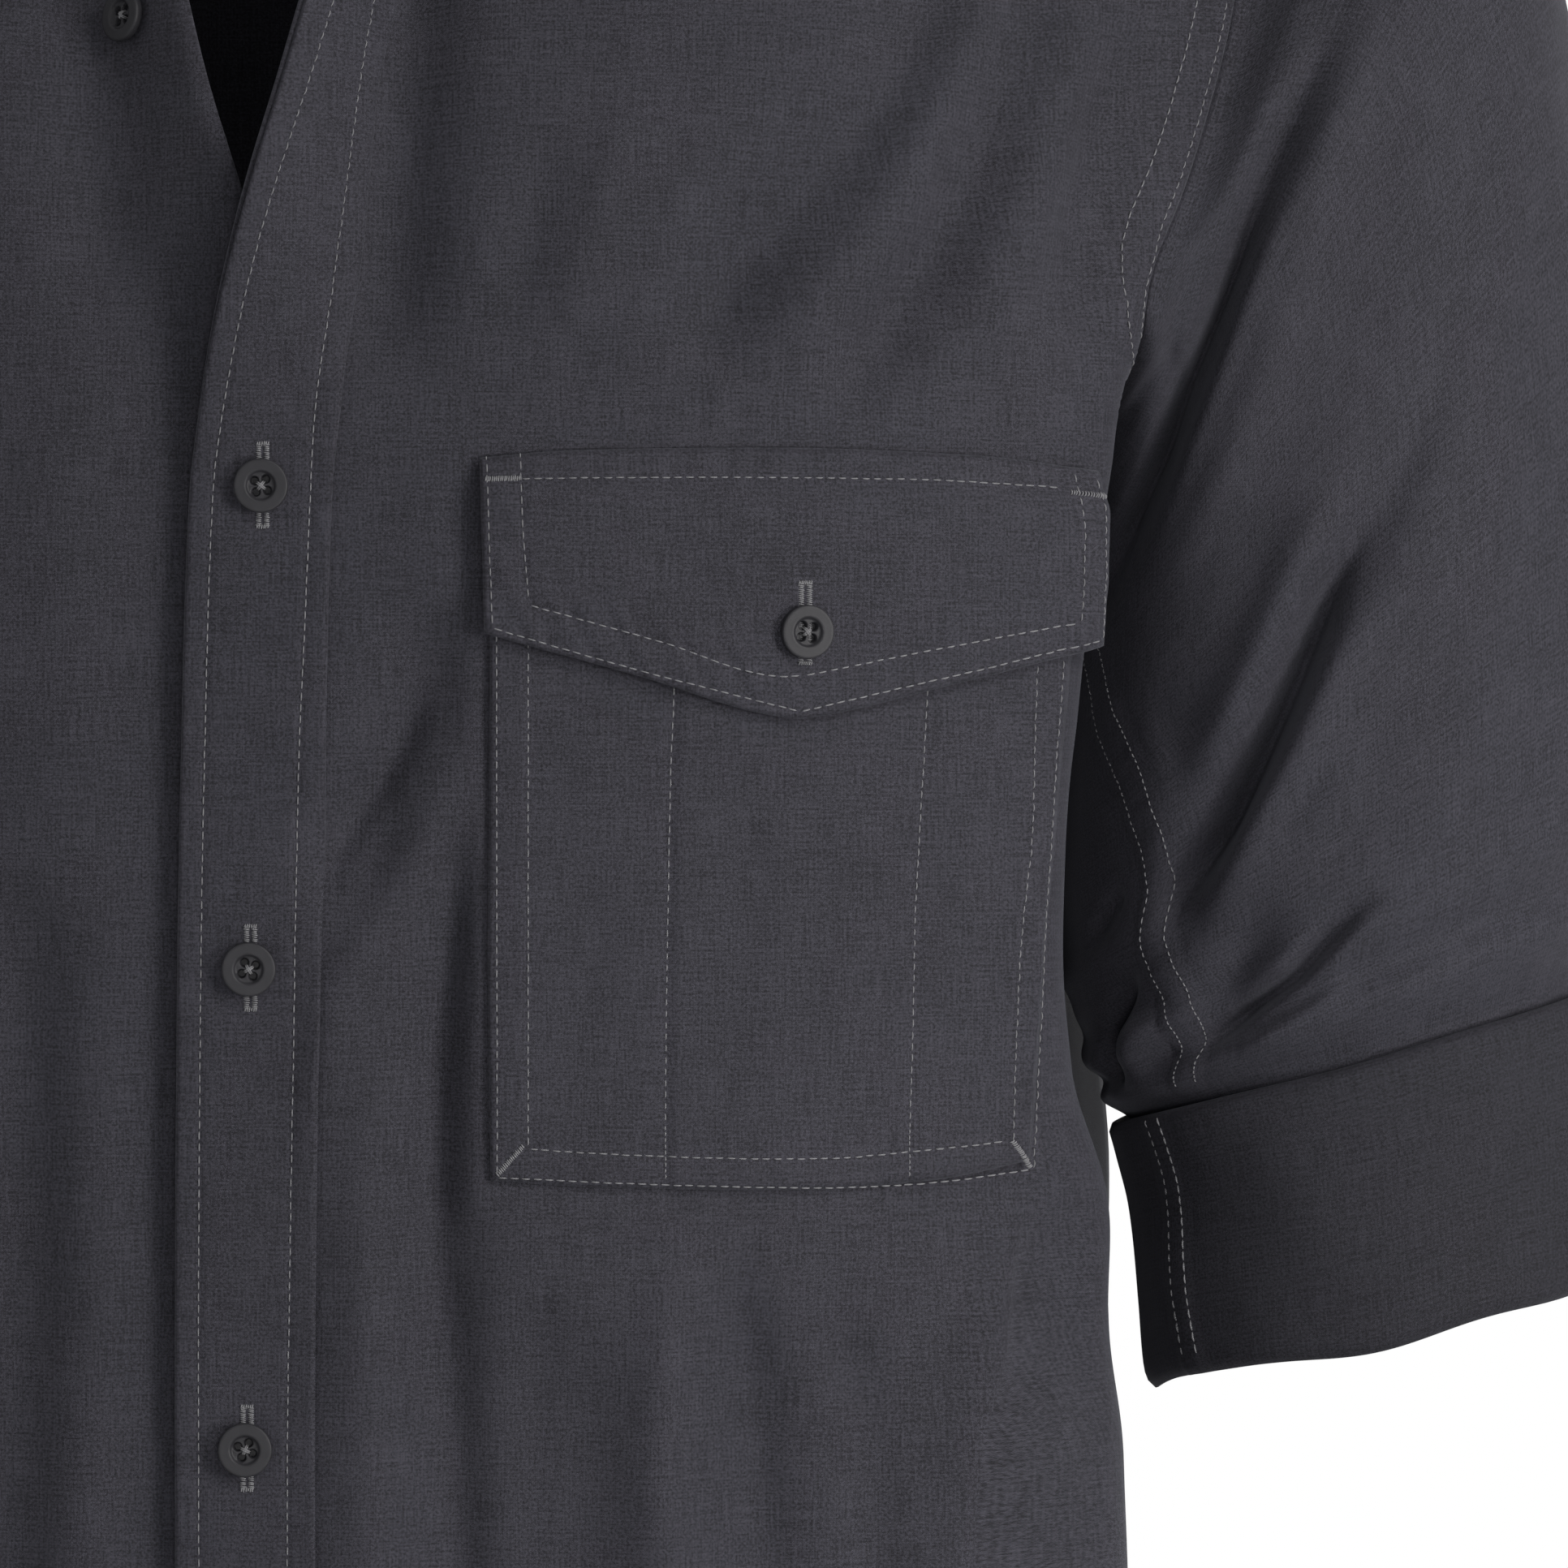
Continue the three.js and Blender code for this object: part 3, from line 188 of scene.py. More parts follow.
EDGE_RIGHT = Table(["z", "edge", "inner", "lift"], [
    [-770, -12, 18, 0],
    [-255, -12, 18, 0],
    [-240, -11, 19, 0],
    [-220, -6, 22, 1],
    [-202, 0, 25, 4],
    [-189, 4, 27, 7],
    [-170, 10, 31, 12],
    [-150, 15, 35, 15],
    [-120, 22, 40, 18],
    [-95, 28, 46, 19],
    [0, 28, 46, 19],
])
EDGE_MIDDLE = Table(["z", "edge", "inner", "lift"], [[-770, 0, 12, 0], [0, 0, 12, 0]])
ARMHOLE = Table(["share", "z", "wrap"], [
    [0, -240, 1], [0.12, -238, 0.7], [0.24, -230, 0.38], [0.35, -215, 0.1], [0.47, -195, 0],
    [0.6, -165, 0], [0.75, -125, 0], [0.88, -85, 0], [1, -52, 0],
])
SLEEVE = Table(["step", "xo", "zo", "xi", "zi", "front", "back", "mid"], [
    [0, 228, -52, 168, -240, 86, 86, 0],
    [1, 243, -58, 171, -251, 84, 85, 0],
    [2, 262, -78, 173, -267, 80, 83, 0],
    [3, 279, -112, 173.5, -286, 76, 80, 0],
    [4, 291, -160, 172.5, -306, 72, 76, -1],
    [5, 299, -212, 172, -328, 69, 71, -2],
    [6, 303, -262, 173.5, -350, 65, 67, -3],
    [7, 303, -308, 177, -371, 61, 63, -5],
    [8, 301, -338, 179.8, -386.5, 57, 58, -7],
    [9, 292.5, -360.5, 190.2, -394.2, 46.5, 46.5, -9.5],
    [10, 292, -374, 192, -404, 46, 46, -10],
    [11, 294, -400, 194.4, -426, 46, 46, -11],
    [12, 297, -424.5, 195.8, -449, 46, 46, -12],
])
ROLL = Table(["share", "xo", "zo", "xi", "zi", "depth", "mid"], [
    [0, 297, -362, 184, -394, 51.8, -9.5],
    [0.12, 298, -369, 186, -400, 52.2, -9.7],
    [0.35, 299, -384.5, 189, -412, 52.2, -10.4],
    [0.7, 300.6, -407, 190.8, -433, 52.0, -11.4],
    [0.92, 301.6, -422, 192, -447, 51.8, -12],
    [1, 300.4, -427, 193.4, -452, 50.6, -12.2],
])
POCKET_EDGES = Table(["share", "left", "right"], [
    [0, 49.4, 163.5], [0.3, 48.9, 166], [0.6, 49.2, 169.5], [1, 49.6, 173.5],
])
POCKET_FOOT = Table(["share", "z"], [
    [0, -402], [0.2, -403.6], [0.6, -404.4], [0.8, -403], [1, -399],
])
FLAP_FOOT = Table(["share", "z"], [
    [0, -286], [0.25, -295], [0.47, -303.4], [0.51, -304], [0.55, -303.2], [0.78, -295.5],
    [1, -287.5],
])
FLAP_HEAD = Table(["share", "z"], [
    [0, -249], [0.15, -247.4], [0.5, -246.6], [0.8, -247.6], [1, -250.2],
])

# Largest folds, the same as on the solids: [width, rise, path of x and z].
FOLDS_LEFT = [
    [11, -6, [[38, -112], [33, -150], [30.5, -180], [29, -205], [25, -236]]],
    [10, -4, [[158, -128], [131, -170], [105, -197], [86, -232]]],
    [9, -4, [[172, -128], [157, -170], [148, -197], [135, -217], [119, -244]]],
    [9, -4, [[192, -140], [184, -170], [178, -200], [172, -232]]],
    [9, 3.5, [[164, -136], [148, -170], [126, -209], [100, -232]]],
    [9, 3, [[182, -136], [172, -170], [164, -195], [148, -232]]],
    [9, -4.5, [[36, -272], [34.5, -300], [27, -319], [20, -352]]],
    [10, -5, [[54, -318], [48, -336], [43, -356], [39, -378], [38, -402], [38.5, -427],
              [41, -461], [46, -540], [44, -650], [40, -748]]],
    [9, 2.5, [[26, -360], [23, -392], [21, -427], [19, -461], [20, -560]]],
    [13, 4, [[162, -414], [157, -428], [150, -461], [142, -540], [138, -640], [136, -740]]],
    [15, -5, [[98, -420], [105, -452], [110, -540], [112, -640], [108, -745]]],
    [13, -3.5, [[66, -424], [66, -461], [70, -560], [76, -660], [80, -748]]],
    [13, 3.5, [[88, -420], [87, -440], [88, -500], [92, -600], [94, -748]]],
    [16, -4, [[182, -520], [186, -600], [190, -690]]],
]
FOLDS_RIGHT = [
    [12, -5, [[40, -116], [35, -150], [33, -185], [27, -232]]],
    [11, -4, [[158, -150], [128, -180], [104, -206], [84, -224]]],
    [10, 3, [[168, -166], [140, -194], [112, -222]]],
    [11, -4, [[186, -168], [172, -204], [150, -238], [120, -262]]],
    [12, 3, [[174, -222], [150, -256], [118, -284]]],
    [13, -4.5, [[170, -290], [140, -330], [112, -352], [84, -362]]],
    [13, -5, [[52, -330], [48, -380], [52, -450], [60, -560], [58, -748]]],
    [12, 3.5, [[34, -350], [32, -420], [36, -520], [34, -640]]],
    [15, 4.5, [[150, -400], [146, -470], [136, -560], [132, -740]]],
    [16, -5.5, [[104, -400], [106, -470], [98, -580], [96, -748]]],
    [16, -4, [[180, -520], [186, -600], [190, -690]]],
]
FOLDS_BACK = [
    [16, -5, [[62, -190], [58, -280], [64, -400], [70, -540], [68, -760]]],
    [16, 4.5, [[34, -230], [30, -330], [36, -460], [34, -620], [30, -760]]],
    [17, -5.5, [[-6, -260], [2, -380], [-4, -520], [2, -760]]],
    [16, 4, [[-40, -200], [-34, -300], [-38, -420], [-32, -600], [-34, -760]]],
    [16, -5, [[-74, -180], [-66, -280], [-70, -420], [-78, -560], [-72, -760]]],
    [17, 5, [[108, -300], [104, -420], [112, -560], [108, -750]]],
    [17, 5, [[-112, -290], [-106, -420], [-114, -560], [-110, -750]]],
    [14, -5, [[182, -190], [150, -232], [118, -256]]],
    [14, -5, [[-180, -186], [-152, -228], [-116, -250]]],
    [13, 3.5, [[176, -226], [146, -262], [112, -284]]],
    [13, 3.5, [[-176, -222], [-148, -260], [-110, -280]]],
    [16, -4.5, [[150, -420], [158, -540], [162, -700]]],
    [16, -4.5, [[-150, -410], [-160, -540], [-164, -700]]],
]
# On a sleeve the paths run in turn (0 outer side, 90 front, 180 inner side) and step.
FOLDS_SLEEVE = [
    [12, -6, [[70, 1.5], [84, 1.8], [104, 2.3], [119, 2.6], [128, 2.88], [143, 3.05], [154, 3.5]]],
    [12, 3.5, [[62, 2.3], [80, 2.6], [98, 3.1], [114, 3.6], [132, 4.0]]],
    [10, -5.5, [[70, 4.5], [84, 4.85], [94, 5.12], [104, 5.5], [115, 5.87], [127, 6.38],
                [137, 6.8]]],
    [9, -4, [[80, 6.1], [96, 6.48], [110, 6.8], [117, 7.1], [124, 7.55], [130, 8.1]]],
    [9, -6, [[262, 2.0], [250, 3.6], [232, 5.0], [214, 6.0]]],
    [10, -5, [[330, 6.0], [300, 6.8], [268, 7.4], [240, 7.8]]],
    [10, 4, [[338, 5.0], [306, 5.9], [276, 6.6]]],
    [9, -4, [[30, 7.2], [10, 7.7], [346, 8.2], [320, 8.5]]],
]

# Small creases: [width on the left of the path, width on its right, rise, path].
CREASES_LEFT = [
    [9, 4, -2.6, [[150, -150], [136, -170], [118, -194], [102, -213], [84, -240]]],
    [8, 4, -2.5, [[162, -150], [157, -170], [148, -197], [135, -221], [118, -246]]],
    [4, 8, -2.2, [[188, -152], [184, -170], [176, -209], [174, -236]]],
    [4, 7, -0.9, [[122, -150], [112, -176], [98, -200], [82, -226]]],
    [6, 4, 1.3, [[140, -158], [124, -184], [108, -206]]],
    [5, 5, 1.2, [[170, -176], [160, -200], [150, -226]]],
    [4, 6, -1.2, [[64, -176], [58, -204], [52, -228]]],
    [7, 4, 1.1, [[80, -168], [72, -196], [62, -226]]],
    [3, 7, -3.2, [[36, -292], [33, -307], [27, -318], [23, -322], [16, -335], [13, -350]]],
    [6, 5, 1.9, [[44, -308], [34, -331], [25, -348], [16, -364], [12, -389], [11, -420]]],
    [3, 6, -2.2, [[56, -322], [50, -332], [44, -352], [39, -382], [38, -410], [39, -440]]],
    [5, 8, -1.6, [[39, -400], [39.5, -420], [42, -457], [44, -520]]],
    [8, 6, 1.5, [[26, -392], [24, -420], [25, -461], [26, -520]]],
    [4, 8, -1.2, [[62, -410], [60, -436], [58, -470], [60, -520]]],
    [6, 5, 1.5, [[88, -408], [87, -430], [84, -461], [84, -500]]],
    [5, 7, -2.0, [[98, -406], [101, -416], [107, -452], [110, -500]]],
    [5, 7, -1.9, [[118, -412], [123, -427], [131, -461], [134, -530]]],
    [4, 6, 3.0, [[167, -384], [162, -405], [157, -427], [150, -461], [146, -510]]],
    [4, 7, -3.0, [[176, -386], [171, -408], [166, -430], [160, -464], [156, -520]]],
    [5, 9, -1.0, [[30, -480], [34, -560], [30, -640], [32, -730]]],
    [5, 8, 0.9, [[120, -540], [124, -620], [122, -720]]],
]
CREASES_RIGHT = [
    [5, 8, -1.1, [[120, -150], [106, -180], [88, -208], [70, -226]]],
    [5, 7, 0.8, [[150, -160], [130, -190], [110, -214]]],
    [4, 7, -1.0, [[178, -230], [160, -262], [140, -286], [112, -300]]],
    [5, 8, 0.9, [[168, -268], [146, -296], [118, -316]]],
    [4, 7, -1.0, [[66, -300], [60, -340], [56, -380]]],
    [5, 8, -0.9, [[84, -420], [80, -480], [84, -560], [80, -680]]],
    [6, 4, 0.8, [[124, -420], [120, -500], [116, -620]]],
    [5, 8, -0.9, [[160, -420], [158, -500], [154, -620]]],
]
CREASES_BACK = [
    [5, 9, -1.2, [[150, -170], [118, -200], [84, -216]]],
    [5, 9, -1.1, [[-152, -166], [-120, -198], [-88, -212]]],
    [6, 5, 0.9, [[164, -200], [132, -226], [98, -238]]],
    [6, 5, 0.9, [[-160, -204], [-130, -230], [-96, -240]]],
    [5, 8, -1.2, [[88, -300], [84, -400], [90, -520], [88, -700]]],
    [5, 8, -1.1, [[-92, -290], [-86, -400], [-94, -540], [-92, -700]]],
    [6, 4, 1.0, [[14, -280], [18, -420], [14, -600]]],
    [6, 4, 1.0, [[-20, -300], [-16, -440], [-20, -620]]],
    [5, 8, -1.0, [[134, -330], [130, -450], [138, -600]]],
    [5, 8, -1.0, [[-134, -320], [-130, -460], [-140, -610]]],
]
CREASES_SLEEVE = [
    [3, 5, -3.8, [[92, 1.9], [104, 2.3], [119, 2.55], [128, 2.88], [136, 3.0], [143, 3.18],
                  [149, 3.4], [153, 3.7]]],
    [9, 5, 4.4, [[84, 2.1], [98, 2.5], [112, 2.85], [122, 3.1], [130, 3.3], [138, 3.55]]],
    [3, 6, -2.0, [[123, 1.0], [121, 1.6], [120.5, 2.2], [124, 2.62], [129, 2.85], [136, 2.9]]],
    [3.4, 5, -9.0, [[84, 4.75], [93.5, 5.05], [101.5, 5.4], [109.5, 5.7], [114, 5.88],
                    [119, 6.08], [125, 6.23], [131.5, 6.42], [136, 6.6]]],
    [8, 5, 5.4, [[84, 5.15], [96, 5.5], [106, 5.9], [114, 6.2], [120, 6.45], [127, 6.75]]],
    [8, 8, 4.0, [[88, 4.4], [100, 4.7], [110, 5.1], [118, 5.45], [124, 5.75]]],
    [8, 8, 3.4, [[88, 6.1], [98, 6.45], [108, 6.75], [118, 7.0]]],
    [3.2, 4.5, -7.0, [[88, 7.05], [98, 7.3], [106.5, 7.55], [112, 7.63], [117.5, 7.7],
                    [122, 7.8], [126.5, 7.93], [130.5, 8.15]]],
    [6, 4, 2.2, [[92, 7.75], [102, 7.95], [112, 8.1], [122, 8.3]]],
    [2.4, 3, -0.9, [[96, 8.72], [105, 8.7], [112, 8.62], [123, 8.5]]],
    [3, 4, -3.0, [[143, 5.95], [147, 6.1], [151, 6.2], [158, 6.38]]],
    [4, 6, -4.5, [[141, 6.6], [147, 6.9], [153, 7.2], [157, 7.6], [160, 8.2]]],
    [8, 7, 4.0, [[141, 7.05], [145, 7.4], [149, 7.85], [152, 8.3]]],
    [4, 5, 1.0, [[137.5, 4.5], [131.5, 5.12], [129.5, 5.7], [129, 6.0]]],
    [5, 7, 1.5, [[172, 7.4], [164, 7.9], [160, 8.5]]],
    [5, 7, -1.2, [[60, 4.2], [72, 4.6], [84, 4.9]]],
    [6, 6, 1.0, [[58, 6.2], [72, 6.6], [86, 6.9]]],
    [5, 8, -1.6, [[284, 2.4], [268, 3.4], [252, 4.4]]],
    [6, 5, 1.2, [[292, 4.0], [276, 5.0], [258, 5.8]]],
    [5, 8, -1.5, [[318, 6.8], [292, 7.3], [262, 7.9]]],
    [6, 5, 1.1, [[24, 5.4], [2, 6.2], [340, 6.8]]],
    [5, 7, -1.3, [[40, 6.4], [20, 7.0], [356, 7.5]]],
]


def path_distance(path, x, z):
    """Distance to a path, side of it (left of travel is positive) and share along it."""
    best = np.full(np.shape(x), 1e9)
    side = np.zeros(np.shape(x))
    share = np.zeros(np.shape(x))
    p = np.array(path, float)
    lens = np.hypot(*(p[1:] - p[:-1]).T)
    total, gone = lens.sum(), 0.0
    for i in range(len(p) - 1):
        dx, dz = p[i + 1] - p[i]
        t = np.clip(((x - p[i, 0]) * dx + (z - p[i, 1]) * dz) / (dx * dx + dz * dz), 0, 1)
        ex, ez = x - p[i, 0] - t * dx, z - p[i, 1] - t * dz
        d = np.hypot(ex, ez)
        near = d < best
        best = np.where(near, d, best)
        side = np.where(near, np.sign(dx * ez - dz * ex), side)
        share = np.where(near, (gone + t * lens[i]) / total, share)
        gone += lens[i]
    return best, side, share


def nearby(path, reach, x, z):
    p = np.array(path, float)
    lo, hi = p.min(0) - reach, p.max(0) + reach
    return (x > lo[0]) & (x < hi[0]) & (z > lo[1]) & (z < hi[1])


def path_length(path):
    return np.hypot(*np.diff(np.array(path, float), axis=0).T).sum()


def fold_rise(folds, x, z):
    x, z = np.broadcast_arrays(np.asarray(x, float), np.asarray(z, float))
    rise = np.zeros(x.shape)
    for width, height, path in folds:
        m = nearby(path, 3.2 * width, x, z)
        if m.any():
            d, _, share = path_distance(path, x[m], z[m])
            d, along = d / width, share * path_length(path)
            held = ease(along / FOLD_FADE)
            if path[-1][1] > FOLD_HEM_Z:
                held = held * ease((path_length(path) - along) / FOLD_FADE)
            rise[m] += height * np.exp(-d * d) * held
    return rise


def crease_rise(creases, x, z):
    """Small creases: uneven on their two sides, and running out at both ends."""
    x, z = np.broadcast_arrays(np.asarray(x, float), np.asarray(z, float))
    rise = np.zeros(x.shape)
    for left, right, height, path in creases:
        m = nearby(path, 3.2 * max(left, right), x, z)
        if m.any():
            d, side, share = path_distance(path, x[m], z[m])
            d = d / np.where(side > 0, left, right)
            rise[m] += height * np.exp(-d * d) * ease(share / 0.3) * ease((1 - share) / 0.35)
    return rise


RIPPLES = [(0.061, 0.043, 0.4), (-0.083, 0.052, 1.9), (0.128, -0.047, 3.1), (0.037, 0.117, 5.0),
           (-0.151, -0.094, 0.9), (0.022, -0.171, 2.3)]


def unrest(x, z):
    """Slight unevenness of hanging cloth, about a fifth of a millimetre."""
    return sum(np.sin(a * x + b * z + c) for a, b, c in RIPPLES) * 0.09


def pucker(along, pitch=7.6):
    """Ripple along a sewn seam: uneven, from two pitches."""
    a = np.sin(2 * math.pi * along / pitch + 0.9 * np.sin(along / 23.0))
    b = np.sin(2 * math.pi * along / (pitch * 0.61) + 1.7)
    return 0.62 * a + 0.38 * b


def ridge(x):
    out = np.maximum(0, (np.abs(x) - NECK_HALF) / (SHOULDER_X - NECK_HALF))
    return -SHOULDER_DROP * out ** 1.15


def closing_power(x, sign):
    return FRONT_CLOSING if sign < 0 else mix(0.43, 0.7, np.minimum(x * x / 8100, 1))


def depth_at(body, x, z, sign):
    d = np.clip((ridge(x) - z) / CLOSING_DEPTH, 0, 1)
    across = np.maximum(0, 1 - (np.abs(x) / body.wide(z)) ** 3)
    return body.depth(z) * np.sqrt(across) * (1 - (1 - d) ** 2) ** closing_power(x, sign)


def plain_point(body, x, z, sign):
    """Point of the plain body. X runs past the side fold and on round to the side seam."""
    x, z = np.broadcast_arrays(np.asarray(x, float), np.asarray(z, float))
    fold = body.fold(z)
    front = np.stack([x, sign * depth_at(body, x, z, sign), z], -1)
    y0 = depth_at(body, fold, z, sign)
    drop = y0 - depth_at(body, fold - 1, z, sign)
    cx = fold + body.lead(z)
    cy = np.maximum(y0 + drop * body.lead(z), y0 * 0.3)
    sx = body.side(z)
    gone = np.hypot(sx - cx, cy)
    rnd = np.minimum(body.round(z), gone * 0.8)
    gx = cx + (sx - cx) * rnd / gone
    gy = cy * (1 - rnd / gone)
    e = (x - fold) / WRAP
    t = np.clip(e / BEND_SHARE, 0, 1)
    a, b, c = (1 - t) ** 2, 2 * t * (1 - t), t * t
    bend = np.stack([a * fold + b * cx + c * gx, sign * (a * y0 + b * cy + c * gy), z], -1)
    t = (e - BEND_SHARE) / (1 - BEND_SHARE)
    side = np.stack([mix(gx, sx, t), sign * gy * (1 - t), z], -1)
    out = np.where((x > fold)[..., None], bend, front)
    return np.where((e > BEND_SHARE)[..., None], side, out)


def body_point(body, x, z, sign, rise):
    x, z = np.broadcast_arrays(np.asarray(x, float), np.asarray(z, float))
    p = plain_point(body, x, z, sign)
    du = plain_point(body, x + 0.5, z, sign) - plain_point(body, x - 0.5, z, sign)
    dv = plain_point(body, x, z + 0.5, sign) - plain_point(body, x, z - 0.5, sign)
    n = np.cross(du, dv) * -sign
    length = np.linalg.norm(n, axis=-1, keepdims=True)
    n = np.where(length > 1e-9, n / np.maximum(length, 1e-9), [0.0, 0.0, 1.0])
    near = ease((ridge(x) - z) / 40)
    return p + n * (rise * near)[..., None]


def roll_out(edge, x, z):
    inner = edge.inner(z)
    share = np.maximum(0, (inner - x) / (inner - edge.edge(z)))
    return edge.lift(z) * share ** 1.25


def armhole_edge(body, t):
    z = ARMHOLE.z(t)
    return body.fold(z) + WRAP * ARMHOLE.wrap(t), z


def hem_line(x, low, reach):
    return mix(low, HEM_SIDE_Z, ease((x - 60) / reach))


def front_hem(x):
    return hem_line(x, HEM_FRONT_Z, 200.0)


def back_hem(x):
    return hem_line(x, HEM_BACK_Z, 195.0)


def armhole_path(body):
    x, z = armhole_edge(body, np.linspace(0, 1, 41))
    return np.stack([x, z], -1)


ARMHOLE_PATHS = {"front": armhole_path(FRONT), "back": armhole_path(BACK)}


def seam_strip(d, along):
    """Raised strip of a felled seam at distance d from its edge, with its two sunk rows."""
    strip = SEAM_HIGH * (1 - ease((d - SEAM_WIDE + 1.0) / 2.2))
    strip = strip * (0.35 + 0.65 * ease(d / 0.9))
    for row in SEAM_ROWS:
        strip = strip - 0.28 * np.exp(-((d - row) / 0.85) ** 2)
    wave = 0.16 * pucker(along) * np.exp(-((d - 5.0) / 4.5) ** 2)
    return strip + wave


def seams_of_panel(which, x, z):
    """Felled seam at the armhole on both panels and at the side on the back, and the hem's fold."""
    body = FRONT if which == "front" else BACK
    path = ARMHOLE_PATHS[which]
    rise = np.zeros(np.shape(x))
    m = (z > UNDERARM_Z - 14) & (x > 130)
    if m.any():
        d, _, share = path_distance(path, x[m], z[m])
        rise[m] = seam_strip(d, share * ARMHOLE_LENGTH) * ease((z[m] - UNDERARM_Z + 8) / 8)
    if which == "back":
        m = (z < UNDERARM_Z) & (x > 190)
        d = (body.fold(z[m]) + WRAP) - x[m]
        rise[m] += seam_strip(d, z[m]) * ease((UNDERARM_Z - z[m]) / 10)
    hem = (front_hem if which == "front" else back_hem)(x)
    m = z < hem + 16
    d = z[m] - hem[m]
    rise[m] += 0.6 * (1 - ease((d - 9.0) / 1.5)) - 0.25 * np.exp(-((d - 8.2) / 0.9) ** 2) \
        + 0.14 * pucker(x[m], 8.8) * np.exp(-((d - 5) / 6) ** 2)
    return rise


def pocket_ground(x, z):
    across = ease((x - 40) / 8) * ease((186 - x) / 8)
    return across * ease((z + 414) / 10) * ease((-240 - z) / 8)


def left_rise(x, z):
    return fold_rise(FOLDS_LEFT, x, z) * (1 - pocket_ground(x, z))


def left_fine(x, z):
    """Rise of the left front as it is shown: folds, creases, puckers and seams."""
    x, z = np.broadcast_arrays(np.asarray(x, float), np.asarray(z, float))
    free = 1 - pocket_ground(x, z)
    rise = (fold_rise(FOLDS_LEFT, x, z) + crease_rise(CREASES_LEFT, x, z)) * free
    rise = rise + unrest(x, z) * (0.35 + 0.65 * free)
    above = np.exp(-((z + 240) / 9.0) ** 2) * ease((x - 70) / 20) * ease((176 - x) / 20)
    rise = rise + 0.30 * pucker(x, 9.4) * above
    below = np.exp(-((z + 411) / 8.0) ** 2) * ease((x - 56) / 12) * ease((166 - x) / 10)
    rise = rise + 0.25 * pucker(x, 8.2) * below
    return rise + seams_of_panel("front", x, z)


def left_point(x, z, rise=None):
    x, z = np.broadcast_arrays(np.asarray(x, float), np.asarray(z, float))
    p = body_point(FRONT, x, z, -1, left_rise(x, z) if rise is None else rise)
    p[..., 1] -= roll_out(EDGE_LEFT, x, z)
    return p


def left_shown(x, z):
    return left_point(x, z, left_fine(x, z))


def right_point(x, z, extra=0.0):
    """The right front is worked out mirrored, and runs under the left one at the middle."""
    x, z = np.broadcast_arrays(np.asarray(x, float), np.asarray(z, float))
    under = ease((44 - x) / 22) * ease((-196 - z) / 24)
    rise = mix(fold_rise(FOLDS_RIGHT, x, z) + extra, left_rise(-x, z), under) - 2.8 * under
    p = body_point(FRONT, x, z, -1, rise)
    p[..., 1] -= roll_out(EDGE_RIGHT, x, z)
    return p


def right_shown(x, z):
    x, z = np.broadcast_arrays(np.asarray(x, float), np.asarray(z, float))
    extra = crease_rise(CREASES_RIGHT, x, z) + unrest(x + 400, z)
    return right_point(x, z, extra + seams_of_panel("front", x, z))


def back_point(side, x, z, extra=0.0):
    rise = fold_rise(FOLDS_BACK, side * np.asarray(x, float), z) + extra
    return body_point(BACK, x, z, 1, rise)


def back_shown(side, x, z):
    x, z = np.broadcast_arrays(np.asarray(x, float), np.asarray(z, float))
    extra = crease_rise(CREASES_BACK, side * x, z) + unrest(side * x, z + 300)
    return back_point(side, x, z, extra + seams_of_panel("back", x, z))


def sided(side, fn):
    """A map worked out for the wearer's left, mirrored for the right side."""
    def shown(x, z):
        p = fn(x, z)
        p[..., 0] *= side
        return p
    return shown


# ---------------------------------------------------------------- flat maps of the panels
def front_neck(edge, t):
    start = edge.edge(-NECK_DROP)
    a = np.asarray(t, float) * math.pi / 2
    return start + (NECK_HALF - start) * np.sin(a), -NECK_DROP * np.cos(a)


def back_neck(t):
    x = NECK_HALF * np.sin(np.asarray(t, float) * math.pi / 2)
    return x, -BACK_NECK_DROP * (1 - (x / NECK_HALF) ** 2)


def column_shares(band, panel, bend, side, seam=0):
    """Columns as (part, share): 0 the band, 1 the panel, 2 the wrap to the side seam."""
    out = [(0, i / band) for i in range(band)] + [(1, i / panel) for i in range(panel)]
    out += [(2, BEND_SHARE * i / bend) for i in range(bend)]
    seam_from = 1 - 10.5 / WRAP if seam else 1.0
    out += [(2, mix(BEND_SHARE, seam_from, i / side)) for i in range(side)]
    out += [(2, mix(seam_from, 1, i / seam)) for i in range(seam)] + [(2, 1.0)]
    return np.array(out)


